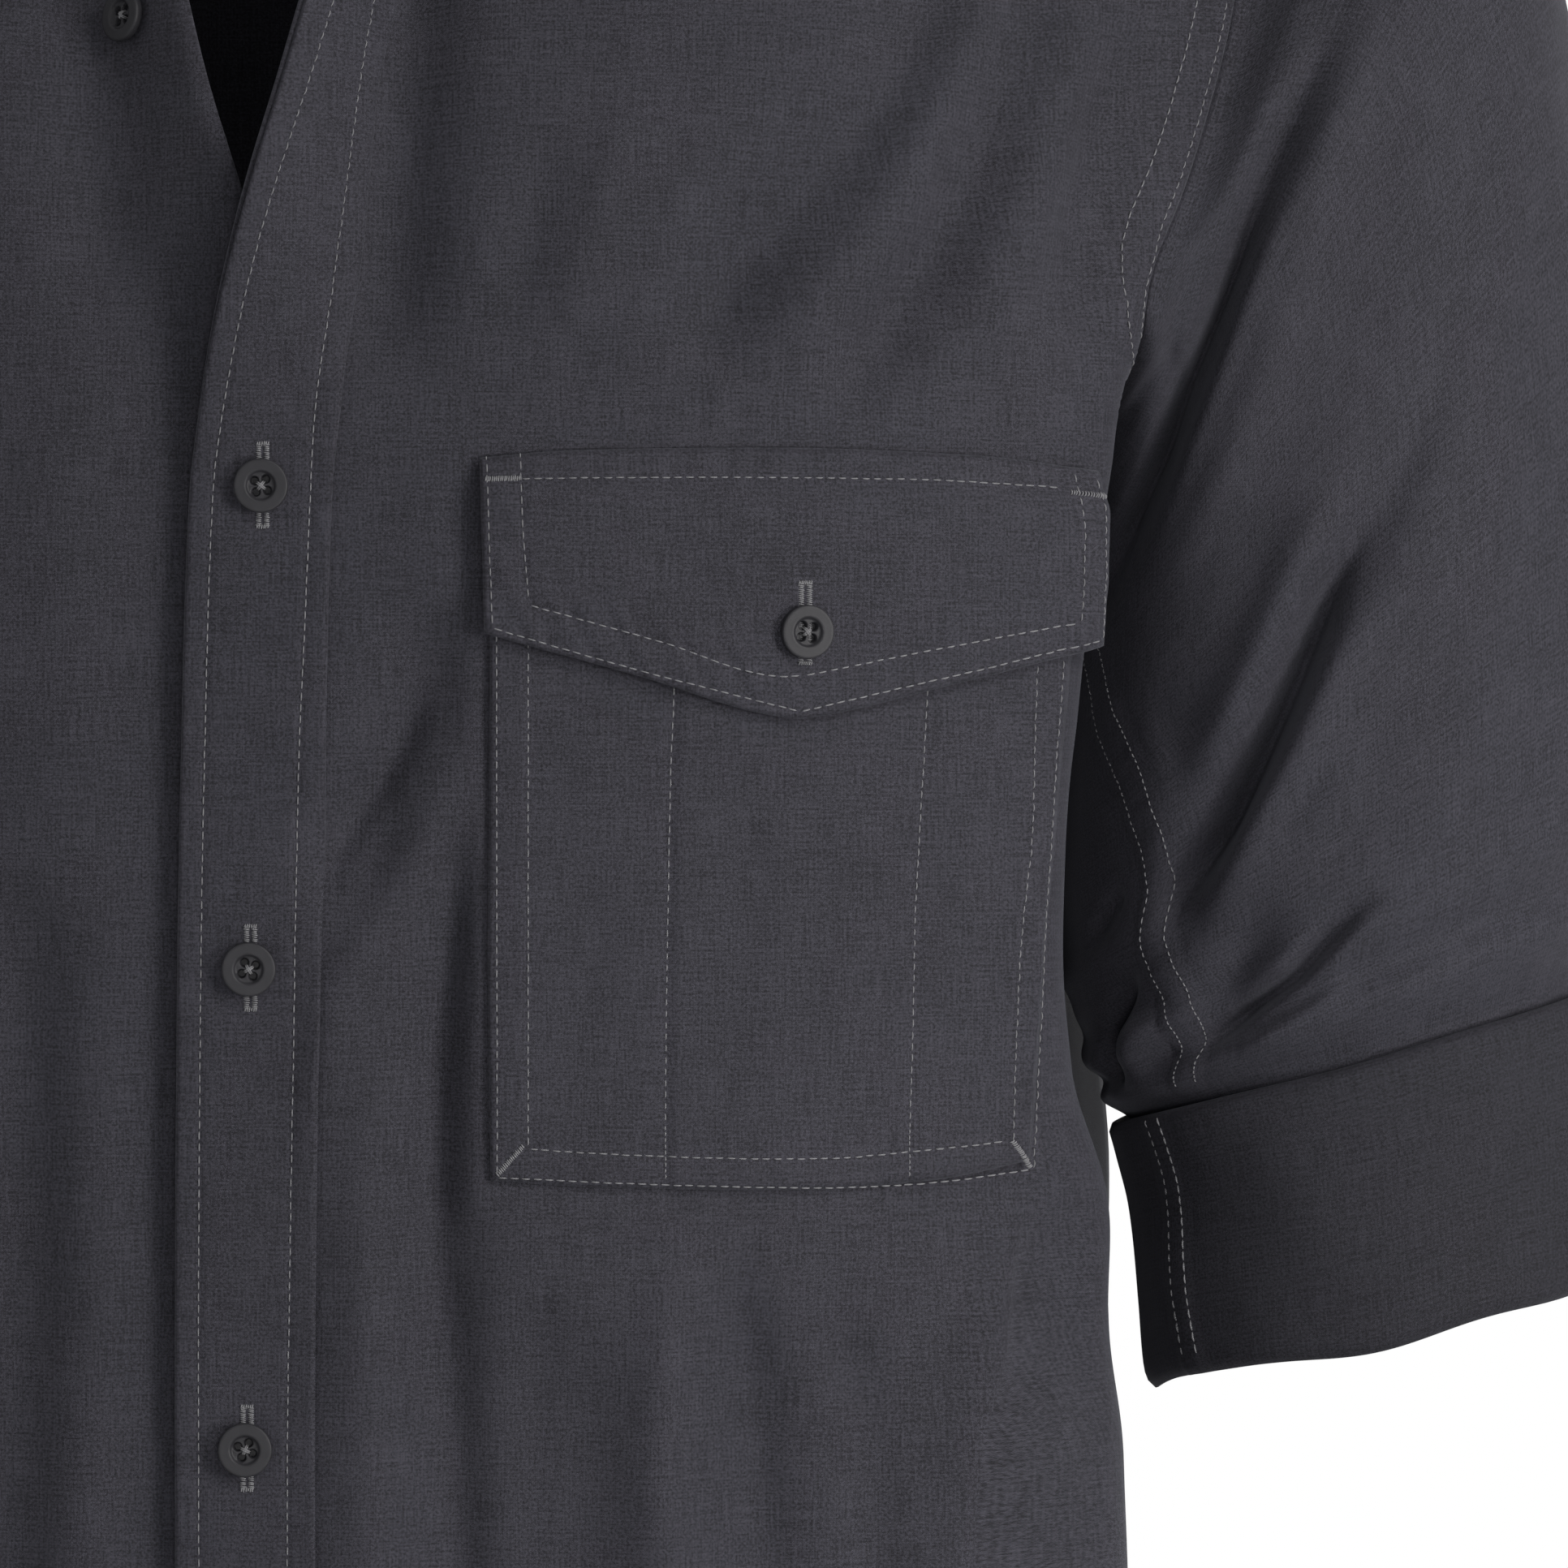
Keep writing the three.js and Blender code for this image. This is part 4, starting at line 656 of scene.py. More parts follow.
def half_map(body, edge, hem, neck, shares, lower, upper):
    """Flat map of a half body in x and z, row by row from hem to shoulder."""
    part, share = shares[:, 0], shares[:, 1]

    def low(z):
        fold, inner, start = body.fold(z), edge.inner(z), edge.edge(z)
        return np.where(part == 2, fold + WRAP * share,
                        np.where(part == 0, mix(start, inner, share), mix(inner, fold, share)))

    hem_z = hem(low(np.full(len(part), -700.0)))
    rows = []
    for down in lower:
        z = mix(hem_z, UNDERARM_Z, down)
        rows.append(np.stack([low(z), z], -1))
    level = np.full(len(part), UNDERARM_Z)
    bottom = np.stack([low(level), level], -1)
    s = ((bottom[:, 0] - bottom[0, 0]) / (bottom[-1, 0] - bottom[0, 0]))[:, None]
    if neck:
        top = mix(NECK_HALF, SHOULDER_X, s[:, 0])
        crown = np.stack([top, ridge(top)], -1)
    else:
        turn = NECK_HALF / SHOULDER_X
        nx, nz = back_neck(np.minimum(s[:, 0] / turn, 1))
        x = np.where(s[:, 0] <= turn, nx, mix(NECK_HALF, SHOULDER_X, (s[:, 0] - turn) / (1 - turn)))
        crown = np.stack([x, np.where(s[:, 0] <= turn, nz, ridge(x))], -1)
    for j in range(1, upper + 1):
        t = j / upper
        right = np.array([float(v) for v in armhole_edge(body, t)])
        left = np.array([0.0, mix(UNDERARM_Z, -BACK_NECK_DROP, t)])
        if neck and t >= NECK_START:
            left = np.array([float(v) for v in neck((t - NECK_START) / (1 - NECK_START))])
        elif neck:
            z = mix(UNDERARM_Z, -NECK_DROP, t / NECK_START)
            left = np.array([float(edge.edge(z)), z])
        rows.append((1 - s) * left + s * right + (1 - t) * bottom + t * crown
                    - (1 - s) * (1 - t) * bottom[0] - s * (1 - t) * bottom[-1]
                    - (1 - s) * t * crown[0] - s * t * crown[-1])
    return np.array(rows)


def row_shares(low, high):
    split = 0.52
    return [split * j / low for j in range(low)] + [mix(split, 1, j / high)
                                                    for j in range(high + 1)]


def unit(v):
    return v / np.maximum(np.linalg.norm(v, axis=-1, keepdims=True), 1e-12)


def surface_normal(point, x, z, sign, reach=1.5):
    """Outward normal of a panel at x and z, from its own smooth shape."""
    x, z = np.broadcast_arrays(np.asarray(x, float), np.asarray(z, float))
    high = np.minimum(z + reach, ridge(x) - 0.2)
    du = point(x + reach, z) - point(x - reach, z)
    dv = point(x, high) - point(x, z - reach)
    n = unit(np.cross(du, dv))
    return n * np.where(n[..., 1:2] * sign < 0, -1.0, 1.0)



def cloth_lengths(grid, closed=False):
    """Lengths along the cloth, across and along, for its weave: metres in u and v."""
    if closed:
        grid = np.concatenate([grid, grid[:, :1]], 1)
    du = np.linalg.norm(np.diff(grid, axis=1), axis=-1)
    u = np.concatenate([np.zeros((len(grid), 1)), np.cumsum(du, 1)], 1)
    if closed:
        u = u * (u[:, -1].mean() / u[:, -1:])
    dv = np.linalg.norm(np.diff(grid, axis=0), axis=-1).mean(1)
    v = np.concatenate([[0.0], np.cumsum(dv)])[:, None] + 0 * u
    return np.stack([u, v], -1) * MM


# ---------------------------------------------------------------- meshes
def make_object(name, points, faces, uv=None, material=None, smooth=True):
    mesh = bpy.data.meshes.new(name)
    sizes = np.array([len(f) for f in faces]) if isinstance(faces, list) \
        else np.full(len(faces), faces.shape[1])
    flat = np.concatenate(faces) if isinstance(faces, list) else faces.reshape(-1)
    mesh.vertices.add(len(points))
    mesh.vertices.foreach_set("co", (np.asarray(points, float) * MM).reshape(-1))
    mesh.loops.add(len(flat))
    mesh.loops.foreach_set("vertex_index", flat.astype(np.int32))
    mesh.polygons.add(len(sizes))
    starts = np.concatenate([[0], np.cumsum(sizes)[:-1]])
    mesh.polygons.foreach_set("loop_start", starts.astype(np.int32))
    mesh.polygons.foreach_set("use_smooth", np.full(len(sizes), smooth))
    if uv is not None:
        layer = mesh.uv_layers.new(name="cloth")
        layer.data.foreach_set("uv", np.asarray(uv, float).reshape(-1))
    mesh.update(calc_edges=True)
    mesh.validate()
    obj = bpy.data.objects.new(name, mesh)
    bpy.context.scene.collection.objects.link(obj)
    if material:
        mesh.materials.append(material)
    return obj


def grid_faces(rows, cols, closed=False, ring=False):
    index = np.arange(rows * cols).reshape(rows, cols)
    a, b = (index, np.roll(index, -1, 1)) if closed else (index[:, :-1], index[:, 1:])
    if ring:
        a2, b2 = np.roll(a, -1, 0), np.roll(b, -1, 0)
    else:
        a, b, a2, b2 = a[:-1], b[:-1], a[1:], b[1:]
    return np.stack([a, b, b2, a2], -1).reshape(-1, 4)


def grid_corners(rows, cols):
    """Each face's four places in a table of rows by cols texture points."""
    index = np.arange(rows * cols).reshape(rows, cols)
    corner = np.stack([index[:-1, :-1], index[:-1, 1:], index[1:, 1:], index[1:, :-1]], -1)
    return corner.reshape(-1, 4)


def look_inward(points, faces, inside):
    """True where four-sided faces look, on the whole, towards the inside."""
    quad = points[faces]
    normal = np.cross(quad[:, 2] - quad[:, 0], quad[:, 3] - quad[:, 1])
    return (normal * (quad.mean(1) - inside)).sum() < 0


def cloth_piece(name, grid, material, thick, inside, closed=False, uv=None, replaces=()):
    """A shell from a grid of points on its outer face; its wall goes inward."""
    rows, cols = grid.shape[:2]
    faces = grid_faces(rows, cols, closed)
    lengths = cloth_lengths(grid, closed) if uv is None else uv
    corner = grid_corners(rows, lengths.shape[1])
    flat = grid.reshape(-1, 3)
    inside = np.broadcast_to(np.asarray(inside, float), grid.shape).reshape(-1, 3)
    if look_inward(flat, faces, inside[faces[:, 0]]):
        faces, corner = faces[:, ::-1], corner[:, ::-1]
    obj = make_object(name, flat, faces, lengths.reshape(-1, 2)[corner.reshape(-1)], material)
    if thick:
        wall = obj.modifiers.new("wall", "SOLIDIFY")
        wall.thickness = thick * MM
        wall.offset = -1
        wall.use_rim = True
    for node in replaces:
        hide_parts(node)
    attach(obj, "root")
    return obj


def polyline(points, step):
    """Evenly spaced places along a smooth line through the points."""
    p = np.array(points, float)
    if len(p) > 2:
        gone = np.concatenate([[0], np.cumsum(np.linalg.norm(np.diff(p, axis=0), axis=1))])
        fine = np.linspace(0, gone[-1], 12 * len(p))
        p = np.stack([Track(gone, p[:, k])(fine) for k in range(p.shape[1])], -1)
    gone = np.concatenate([[0], np.cumsum(np.linalg.norm(np.diff(p, axis=0), axis=1))])
    count = max(2, int(round(gone[-1] / step)) + 1)
    at = np.linspace(0, gone[-1], count)
    return np.stack([np.interp(at, gone, p[:, k]) for k in range(p.shape[1])], -1)


class Thread:
    """Collects short bowed lengths of thread, to be joined in one piece."""
    RINGS = 5
    SIDES = 5
    PER_PITCH = 8

    def __init__(self):
        self.points = []
        self.faces = []
        self.count = 0

    def tubes(self, lines, normals, radius):
        """lines is (stitches, RINGS, 3) and normals (stitches, 3)."""
        n, rings = lines.shape[:2]
        along = unit(lines[:, -1] - lines[:, 0])
        side = unit(np.cross(along, normals))
        up = np.cross(side, along)
        a = np.arange(self.SIDES) * 2 * math.pi / self.SIDES
        end = np.ones(rings)
        end[[0, -1]] = 0.45
        ringed = (side[:, None, None] * np.cos(a)[None, None, :, None]
                  + up[:, None, None] * np.sin(a)[None, None, :, None])
        pts = lines[:, :, None] + ringed * (radius * end)[None, :, None, None]
        faces = grid_faces(rings, self.SIDES, closed=True)
        base = self.count + np.arange(n)[:, None, None] * rings * self.SIDES
        self.points.append(pts.reshape(-1, 3))
        self.faces.append((faces[None] + base).reshape(-1, 4))
        self.count += n * rings * self.SIDES

    def row(self, place, points, pitch=STITCH_PITCH, length=STITCH_LONG, radius=THREAD_RADIUS,
            bow=0.17, seed=1):
        """A row of stitches through flat points; place(u, v, up) puts them on the cloth."""
        rng = np.random.default_rng(seed)
        step = self.PER_PITCH
        at = polyline(points, pitch / step)
        count = (len(at) - 1) // step
        if count < 1:
            return
        starts = np.arange(count) * step
        share = length / pitch
        offs = np.linspace(0.5 - share / 2, 0.5 + share / 2, self.RINGS)
        where = starts[:, None] + step * offs[None] + rng.uniform(-0.25, 0.25, (count, 1))
        idx = np.arange(len(at))
        uv = np.stack([np.interp(where, idx, at[:, 0]), np.interp(where, idx, at[:, 1])], -1)
        uv = uv + rng.uniform(-0.05, 0.05, (count, 1, 2))
        lift = np.array([-0.16, 0.55, 1.0, 0.55, -0.16]) * bow + 0.02
        on = place(uv[..., 0], uv[..., 1], np.broadcast_to(lift, uv.shape[:2]))
        base = place(uv[:, 2, 0], uv[:, 2, 1], np.zeros(count))
        top = place(uv[:, 2, 0], uv[:, 2, 1], np.ones(count))
        self.tubes(on, unit(top - base), radius)

    def bars(self, place, start, end, width, pitch=0.42, radius=0.17, seed=3):
        """Satin bar between two flat points: close threads laid across it."""
        rng = np.random.default_rng(seed)
        a, b = np.array(start, float), np.array(end, float)
        count = max(3, int(np.linalg.norm(b - a) / pitch))
        t = (np.arange(count) + 0.5) / count
        mid = a + (b - a) * t[:, None] + rng.uniform(-0.05, 0.05, (count, 2))
        cross = np.array([-(b - a)[1], (b - a)[0]]) / np.linalg.norm(b - a)
        lean = (b - a) / np.linalg.norm(b - a) * pitch * 0.5
        offs = np.linspace(-0.5, 0.5, self.RINGS)
        wide = width * rng.uniform(0.85, 1.1, count)
        uv = mid[:, None] + offs[None, :, None] * (cross * wide[:, None] + lean)[:, None]
        lift = np.array([-0.1, 0.2, 0.3, 0.2, -0.1])
        on = place(uv[..., 0], uv[..., 1], np.broadcast_to(lift, uv.shape[:2]))
        base = place(uv[:, 2, 0], uv[:, 2, 1], np.zeros(count))
        top = place(uv[:, 2, 0], uv[:, 2, 1], np.ones(count))
        self.tubes(on, unit(top - base), radius)

    def make(self, name, material):
        obj = make_object(name, np.concatenate(self.points), np.concatenate(self.faces),
                          None, material)
        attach(obj, "root")
        return obj


# ---------------------------------------------------------------- materials
class Nodes:
    """Short helper for a material's node tree."""

    def __init__(self, name):
        self.mat = bpy.data.materials.new(name)
        self.mat.use_nodes = True
        self.tree = self.mat.node_tree
        self.shader = self.tree.nodes["Principled BSDF"]

    def add(self, kind, inputs=None, **props):
        node = self.tree.nodes.new(kind)
        for key, value in props.items():
            setattr(node, key, value)
        for key, value in (inputs or {}).items():
            if isinstance(value, bpy.types.NodeSocket):
                self.tree.links.new(value, node.inputs[key])
            else:
                node.inputs[key].default_value = value
        return node

    def math(self, op, a, b=0.0, c=0.0):
        return self.add("ShaderNodeMath", {0: a, 1: b, 2: c}, operation=op).outputs[0]

    def noise(self, vector, scale, detail=2.0, roughness=0.5):
        node = self.add("ShaderNodeTexNoise", {"Vector": vector, "Scale": scale,
                                               "Detail": detail, "Roughness": roughness})
        return node.outputs["Fac"]

    def link(self, socket, name):
        self.tree.links.new(socket, self.shader.inputs[name])

    def set(self, **values):
        for key, value in values.items():
            self.shader.inputs[key.replace("_", " ")].default_value = value


THREAD_PITCH = 0.00034


def cloth_material(name, dark, light, sheen, weave=0.35):
    """Plain weave: crossing threads in bump and tone, slubs, and a faint mottle."""
    m = Nodes(name)
    uv = m.add("ShaderNodeUVMap", uv_map="cloth").outputs[0]
    split = m.add("ShaderNodeSeparateXYZ", {0: uv})
    turn = 2 * math.pi / THREAD_PITCH
    across = m.math("SINE", m.math("MULTIPLY", split.outputs[0], turn))
    along = m.math("SINE", m.math("MULTIPLY", split.outputs[1], turn))
    weave_h = m.math("MULTIPLY", across, along)
    warp = m.add("ShaderNodeMapping", {"Vector": uv, "Scale": (2600.0, 90.0, 1.0)}).outputs[0]
    weft = m.add("ShaderNodeMapping", {"Vector": uv, "Scale": (90.0, 2600.0, 1.0)}).outputs[0]
    slub = m.math("ADD", m.noise(warp, 1.0, 1.0), m.noise(weft, 1.0, 1.0))
    grain = m.noise(uv, 1700.0, 2.5, 0.75)
    place = m.add("ShaderNodeTexCoord").outputs["Object"]
    mottle = m.noise(place, 55.0, 3.0, 0.6)
    cloud = m.noise(place, 9.0, 2.0, 0.5)
    tone = m.math("MULTIPLY_ADD", slub, 0.36, m.math("MULTIPLY", grain, 1.3))
    tone = m.math("ADD", tone, m.math("MULTIPLY", mottle, 0.14))
    tone = m.math("ADD", tone, m.math("MULTIPLY", cloud, 0.12))
    tone = m.math("MULTIPLY_ADD", weave_h, 0.1, tone)
    tone = m.math("SUBTRACT", tone, 0.64)
    ramp = m.add("ShaderNodeValToRGB", {"Fac": tone})
    ramp.color_ramp.elements[0].position = 0.3
    ramp.color_ramp.elements[0].color = (*dark, 1)
    ramp.color_ramp.elements[1].position = 0.7
    ramp.color_ramp.elements[1].color = (*light, 1)
    m.link(ramp.outputs["Color"], "Base Color")
    height = m.math("MULTIPLY_ADD", slub, 0.35, m.math("MULTIPLY", weave_h, 0.5))
    bump = m.add("ShaderNodeBump", {"Strength": weave, "Distance": 0.00008, "Height": height})
    m.link(bump.outputs[0], "Normal")
    rough = m.math("MULTIPLY_ADD", grain, 0.12, 0.76)
    m.link(rough, "Roughness")
    m.set(Specular_IOR_Level=0.12, Sheen_Weight=sheen, Sheen_Roughness=0.45)
    m.shader.inputs["Sheen Tint"].default_value = (0.72, 0.74, 0.86, 1)
    return m.mat


def thread_material(name, colour):
    m = Nodes(name)
    place = m.add("ShaderNodeTexCoord").outputs["Object"]
    fuzz = m.noise(place, 2600.0, 2.0, 0.6)
    patch = m.noise(place, 60.0, 2.0, 0.5)
    tone = m.math("MULTIPLY_ADD", fuzz, 0.6, m.math("MULTIPLY", patch, 0.5))
    ramp = m.add("ShaderNodeValToRGB", {"Fac": tone})
    ramp.color_ramp.elements[0].position = 0.3
    ramp.color_ramp.elements[0].color = (*[c * 0.7 for c in colour], 1)
    ramp.color_ramp.elements[1].position = 0.8
    ramp.color_ramp.elements[1].color = (*[c * 1.25 for c in colour], 1)
    m.link(ramp.outputs["Color"], "Base Color")
    bump = m.add("ShaderNodeBump", {"Strength": 0.4, "Distance": 0.00005, "Height": fuzz})
    m.link(bump.outputs[0], "Normal")
    m.set(Roughness=0.6, Specular_IOR_Level=0.35, Sheen_Weight=0.2)
    return m.mat


def button_material(name, colour):
    m = Nodes(name)
    place = m.add("ShaderNodeTexCoord").outputs["Object"]
    speck = m.noise(place, 1800.0, 3.0, 0.6)
    cloud = m.noise(place, 240.0, 2.0, 0.5)
    tone = m.math("MULTIPLY_ADD", speck, 0.4, m.math("MULTIPLY", cloud, 0.6))
    ramp = m.add("ShaderNodeValToRGB", {"Fac": tone})
    ramp.color_ramp.elements[0].position = 0.3
    ramp.color_ramp.elements[0].color = (*[c * 0.82 for c in colour], 1)
    ramp.color_ramp.elements[1].position = 0.75
    ramp.color_ramp.elements[1].color = (*[c * 1.18 for c in colour], 1)
    m.link(ramp.outputs["Color"], "Base Color")
    bump = m.add("ShaderNodeBump", {"Strength": 0.15, "Distance": 0.00005, "Height": speck})
    m.link(bump.outputs[0], "Normal")
    m.link(m.math("MULTIPLY_ADD", speck, 0.2, 0.38), "Roughness")
    m.set(Specular_IOR_Level=0.12)
    return m.mat


CLOTH = cloth_material("cloth", (0.0046, 0.0044, 0.0059), (0.0206, 0.0201, 0.0257), 0.05)
REVERSE = cloth_material("cloth_reverse", (0.0032, 0.0031, 0.0042), (0.0130, 0.0127, 0.0164),
                         0.03)
THREAD = thread_material("thread", (0.062, 0.062, 0.067))
PLASTIC = button_material("button_plastic", (0.0110, 0.0109, 0.0126))

# ---------------------------------------------------------------- body panels
INSIDE_LEFT = (100.0, 0.0, -400.0)
INSIDE_RIGHT = (-100.0, 0.0, -400.0)
INSIDE_BACK = (0.0, 0.0, -400.0)


def panel_uv(flat, side=1):
    return np.stack([side * flat[..., 0], flat[..., 1]], -1) * MM


map_left = half_map(FRONT, EDGE_LEFT, front_hem, lambda t: front_neck(EDGE_LEFT, t),
                    column_shares(10, 80, 10, 12, 10), row_shares(44, 110), 84)
map_right = half_map(FRONT, EDGE_RIGHT, front_hem, lambda t: front_neck(EDGE_RIGHT, t),
                     column_shares(5, 34, 6, 8, 5), row_shares(30, 44), 46)
map_back = half_map(BACK, EDGE_MIDDLE, back_hem, None,
                    column_shares(4, 32, 5, 10, 5), row_shares(30, 44), 48)

front_left = cloth_piece("shirt_front_left", left_shown(map_left[..., 0], map_left[..., 1]),
                         CLOTH, CLOTH_THICK, INSIDE_LEFT, uv=panel_uv(map_left),
                         replaces=["front_left"])
front_right = cloth_piece("shirt_front_right",
                          sided(-1, right_shown)(map_right[..., 0], map_right[..., 1]),
                          CLOTH, CLOTH_THICK, INSIDE_RIGHT, uv=panel_uv(map_right, -1),
                          replaces=["front_right"])
back_halves = []
for side in (1, -1):
    half = back_shown(side, map_back[..., 0], map_back[..., 1])
    half[..., 0] *= side
    back_halves.append(half)
back_grid = np.concatenate([back_halves[1][:, :0:-1], back_halves[0]], 1)
back_flat = np.concatenate([map_back[:, :0:-1] * [-1, 1], map_back], 1)
back = cloth_piece("shirt_back", back_grid, CLOTH, CLOTH_THICK, INSIDE_BACK,
                   uv=panel_uv(back_flat), replaces=["back"])


# ---------------------------------------------------------------- sleeves and their rolled ends
GIRTH, STEP_LONG = 1.15, 34.0


def on_sleeve_map(path):
    return [[t * GIRTH, s * STEP_LONG] for t, s in path]


def lapped(fn, rows, turn, step):
    """A fold table of a sleeve, worked out over the turn's joint as well."""
    total = 0
    for lap in (-360, 0, 360):
        total = total + fn(rows, (turn + lap) * GIRTH, step * STEP_LONG)
    return total


def scaled(rows):
    return [row[:-1] + [on_sleeve_map(row[-1])] for row in rows]


SLEEVE_SEAM = [[174, 0], [166, 2.2], [158, 3.4], [153.7, 3.95], [150.3, 4.4], [145.7, 4.85],
               [142, 5.23], [139.8, 5.58], [138.2, 5.85], [138, 6.1], [139.6, 6.3],
               [141, 6.58], [139.3, 6.88], [137, 7.28], [136, 7.62], [137.5, 8.03],
               [140, 8.45], [141, 9], [141, 12]]


def sleeve_rise(turn, step):
    folds = lapped(fold_rise, scaled(FOLDS_SLEEVE), turn, step)
    fine = lapped(crease_rise, scaled(CREASES_SLEEVE), turn, step)
    rise = (folds + fine + 1.3 * unrest(turn * 1.4, step * 40)) * ease(step / 1.2)
    path = on_sleeve_map(SLEEVE_SEAM)
    m = (turn > 110) & (turn < 200)
    x, z = turn[m] * GIRTH, step[m] * STEP_LONG
    d, side, share = path_distance(path, x, z)
    d = np.where(side > 0, 1.0, -1.0) * d
    strip = np.where(d > 0, seam_strip(d, share * SLEEVE_SEAM_LENGTH),
                     -0.3 * np.exp(-(d / 1.2) ** 2))
    rise[m] += strip * ease(step[m] / 0.6)
    return rise * ease(9 - step)


def ring_point(turn, front_fn, back_fn):
    """Armhole ring by turn: 0 at the shoulder, 90 in front, 180 under the arm."""
    turn = np.asarray(turn, float) % 360
    xf, zf = armhole_edge(FRONT, np.clip(1 - turn / 180, 0, 1))
    xb, zb = armhole_edge(BACK, np.clip((turn - 180) / 180, 0, 1))
    return np.where((turn <= 180)[..., None], front_fn(xf, zf), back_fn(xb, zb))


def oval_point(turn, step, grow=0.0):
    a = np.radians(turn)
    xo, zo, xi, zi = SLEEVE.xo(step), SLEEVE.zo(step), SLEEVE.xi(step), SLEEVE.zi(step)
    half = np.hypot(xo - xi, zo - zi) / 2
    deep = np.where(np.sin(a) > 0, SLEEVE.front(step), SLEEVE.back(step))
    c = np.cos(a) * (1 + grow / half)
    s = np.sin(a) * (1 + grow / deep)
    return np.stack([(xo + xi) / 2 + c * (xo - xi) / 2, SLEEVE.mid(step) - s * deep,
                     (zo + zi) / 2 + c * (zo - zi) / 2], -1)


# Steps over which a sleeve goes from the armhole's ring to its own ovals.
HOLD_STEPS = 3.2


def ring_gap(side, turn):
    """From the sleeve's first oval to the armhole's ring, by turn."""
    ring = ring_point(turn, left_shown if side > 0 else right_shown,
                      lambda x, z: back_shown(side, x, z))
    return ring - oval_point(turn, np.zeros_like(turn))


def sleeve_point(side, turn, step, extra=0.0):
    turn, step = np.broadcast_arrays(np.asarray(turn, float), np.asarray(step, float))
    hold = 1 - ease(step / HOLD_STEPS)
    return (oval_point(turn, step, sleeve_rise(turn, step) + extra)
            + ring_gap(side, turn) * hold[..., None])


def sleeve_grid(side, around, rest, along):
    turn = np.concatenate([np.linspace(62, 168, around, endpoint=False),
                           np.linspace(168, 422, rest, endpoint=False)])
    step = np.concatenate([np.linspace(0, 9.2, along), [9.6, 10, 10.5, 11, 11.5, 12]])
    turns, steps = np.meshgrid(turn, step)
    hold = 1 - ease(steps / HOLD_STEPS)
    grid = (oval_point(turns, steps, sleeve_rise(turns, steps))
            + ring_gap(side, turn)[None] * hold[..., None])
    centre = grid.mean(1, keepdims=True)
    out = unit(grid[2] - grid[0])
    inward = unit(centre[0] - grid[0])
    tuck = grid[0] + inward * 1.1 - out * 1.6
    sunk = grid[0] + inward * 0.75
    grid = np.concatenate([tuck[None], sunk[None], grid[1:]], 0)
    grid[..., 0] *= side
    return grid


for side, word, around, rest, along in ((1, "left", 96, 92, 205), (-1, "right", 48, 76, 90)):
    grid = sleeve_grid(side, around, rest, along)
    cloth_piece("shirt_sleeve_" + word, grid, CLOTH, CLOTH_THICK,
                                grid.mean(1, keepdims=True), closed=True,
                                replaces=["sleeve_" + word])


ROLL_WAVES = [(3, 0.7, 0.4), (5, 0.45, 2.0), (8, 0.25, 4.1)]
ROLL_SEAM = Table(["share", "turn"], [[0, 151], [0.6, 151], [1, 148.5]])


def roll_point(side, turn, share, grow, extra=0.0):
    """Rolled sleeve end: grow is the distance outward from the solid's outer face."""
    turn, share = np.broadcast_arrays(np.asarray(turn, float), np.asarray(share, float))
    a = np.radians(turn)
    xo, zo, xi, zi = ROLL.xo(share), ROLL.zo(share), ROLL.xi(share), ROLL.zi(share)
    half, deep = np.hypot(xo - xi, zo - zi) / 2, ROLL.depth(share)
    c = np.cos(a) * (1 + grow / half)
    s = np.sin(a) * (1 + grow / deep)
    wave = sum(h * np.sin(k * a + p) for k, h, p in ROLL_WAVES)
    drop = wave * (0.4 + 1.1 * share) + extra
    return np.stack([side * ((xo + xi) / 2 + c * (xo - xi) / 2), ROLL.mid(share) - s * deep,
                     (zo + zi) / 2 + c * (zo - zi) / 2 + drop], -1)


def roll_relief(turn, share):
    d = (turn - ROLL_SEAM.turn(share)) * 1.4
    strip = 0.6 * ease((d + 10.5) / 1.6) * (1 - ease((d - 0.5) / 1.6))
    rows = 0.3 * np.exp(-((d + 1.4) / 0.9) ** 2) + 0.3 * np.exp(-((d + 8.4) / 0.9) ** 2)
    sag = 0.5 * np.sin(turn * 0.11 + 5 * share) * np.sin(share * math.pi)
    return strip - rows + sag + 0.8 * unrest(turn * 1.7, share * 60)


def roll_grid(side, around):
    """Closed band: down the outer face, round the lower fold, up the inner face and over."""
    turn = np.arange(around) * 360.0 / around
    rows = []
    for share in np.linspace(0, 1, 34):
        soft = -1.1 * (1 - ease(share / 0.03)) - 1.3 * ease((share - 0.95) / 0.05) ** 2
        rows.append(roll_point(side, turn, share, soft + roll_relief(turn, share)))
    for share, grow in ((1.0, -2.0), (0.97, -ROLL_WALL), (0.8, -ROLL_WALL), (0.5, -ROLL_WALL),
                        (0.2, -ROLL_WALL), (0.02, -ROLL_WALL), (0.0, -2.4)):
        rows.append(roll_point(side, turn, share, np.full(around, grow)))
    return np.array(rows)


for side, word, around in ((1, "left", 220), (-1, "right", 120)):
    grid = roll_grid(side, around)
    rows, cols = grid.shape[:2]
    faces = grid_faces(rows, cols, closed=True, ring=True)
    u = np.linspace(0, 0.31, cols + 1)
    looped = np.concatenate([grid, grid[:1]], 0)
    v = np.concatenate([[0], np.cumsum(np.linalg.norm(np.diff(looped, axis=0), axis=-1).mean(1))])
    uu, vv = np.meshgrid(u, v * MM)
    corner = grid_corners(rows + 1, cols + 1)
    uv = np.stack([uu, vv], -1).reshape(-1, 2)
    if look_inward(grid.reshape(-1, 3), faces, 0.0):
        faces, corner = faces[:, ::-1], corner[:, ::-1]
    roll = make_object("shirt_roll_" + word, grid.reshape(-1, 3), faces,
                       uv[corner.reshape(-1)], REVERSE)
    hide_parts("roll_" + word)
    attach(roll, "root")


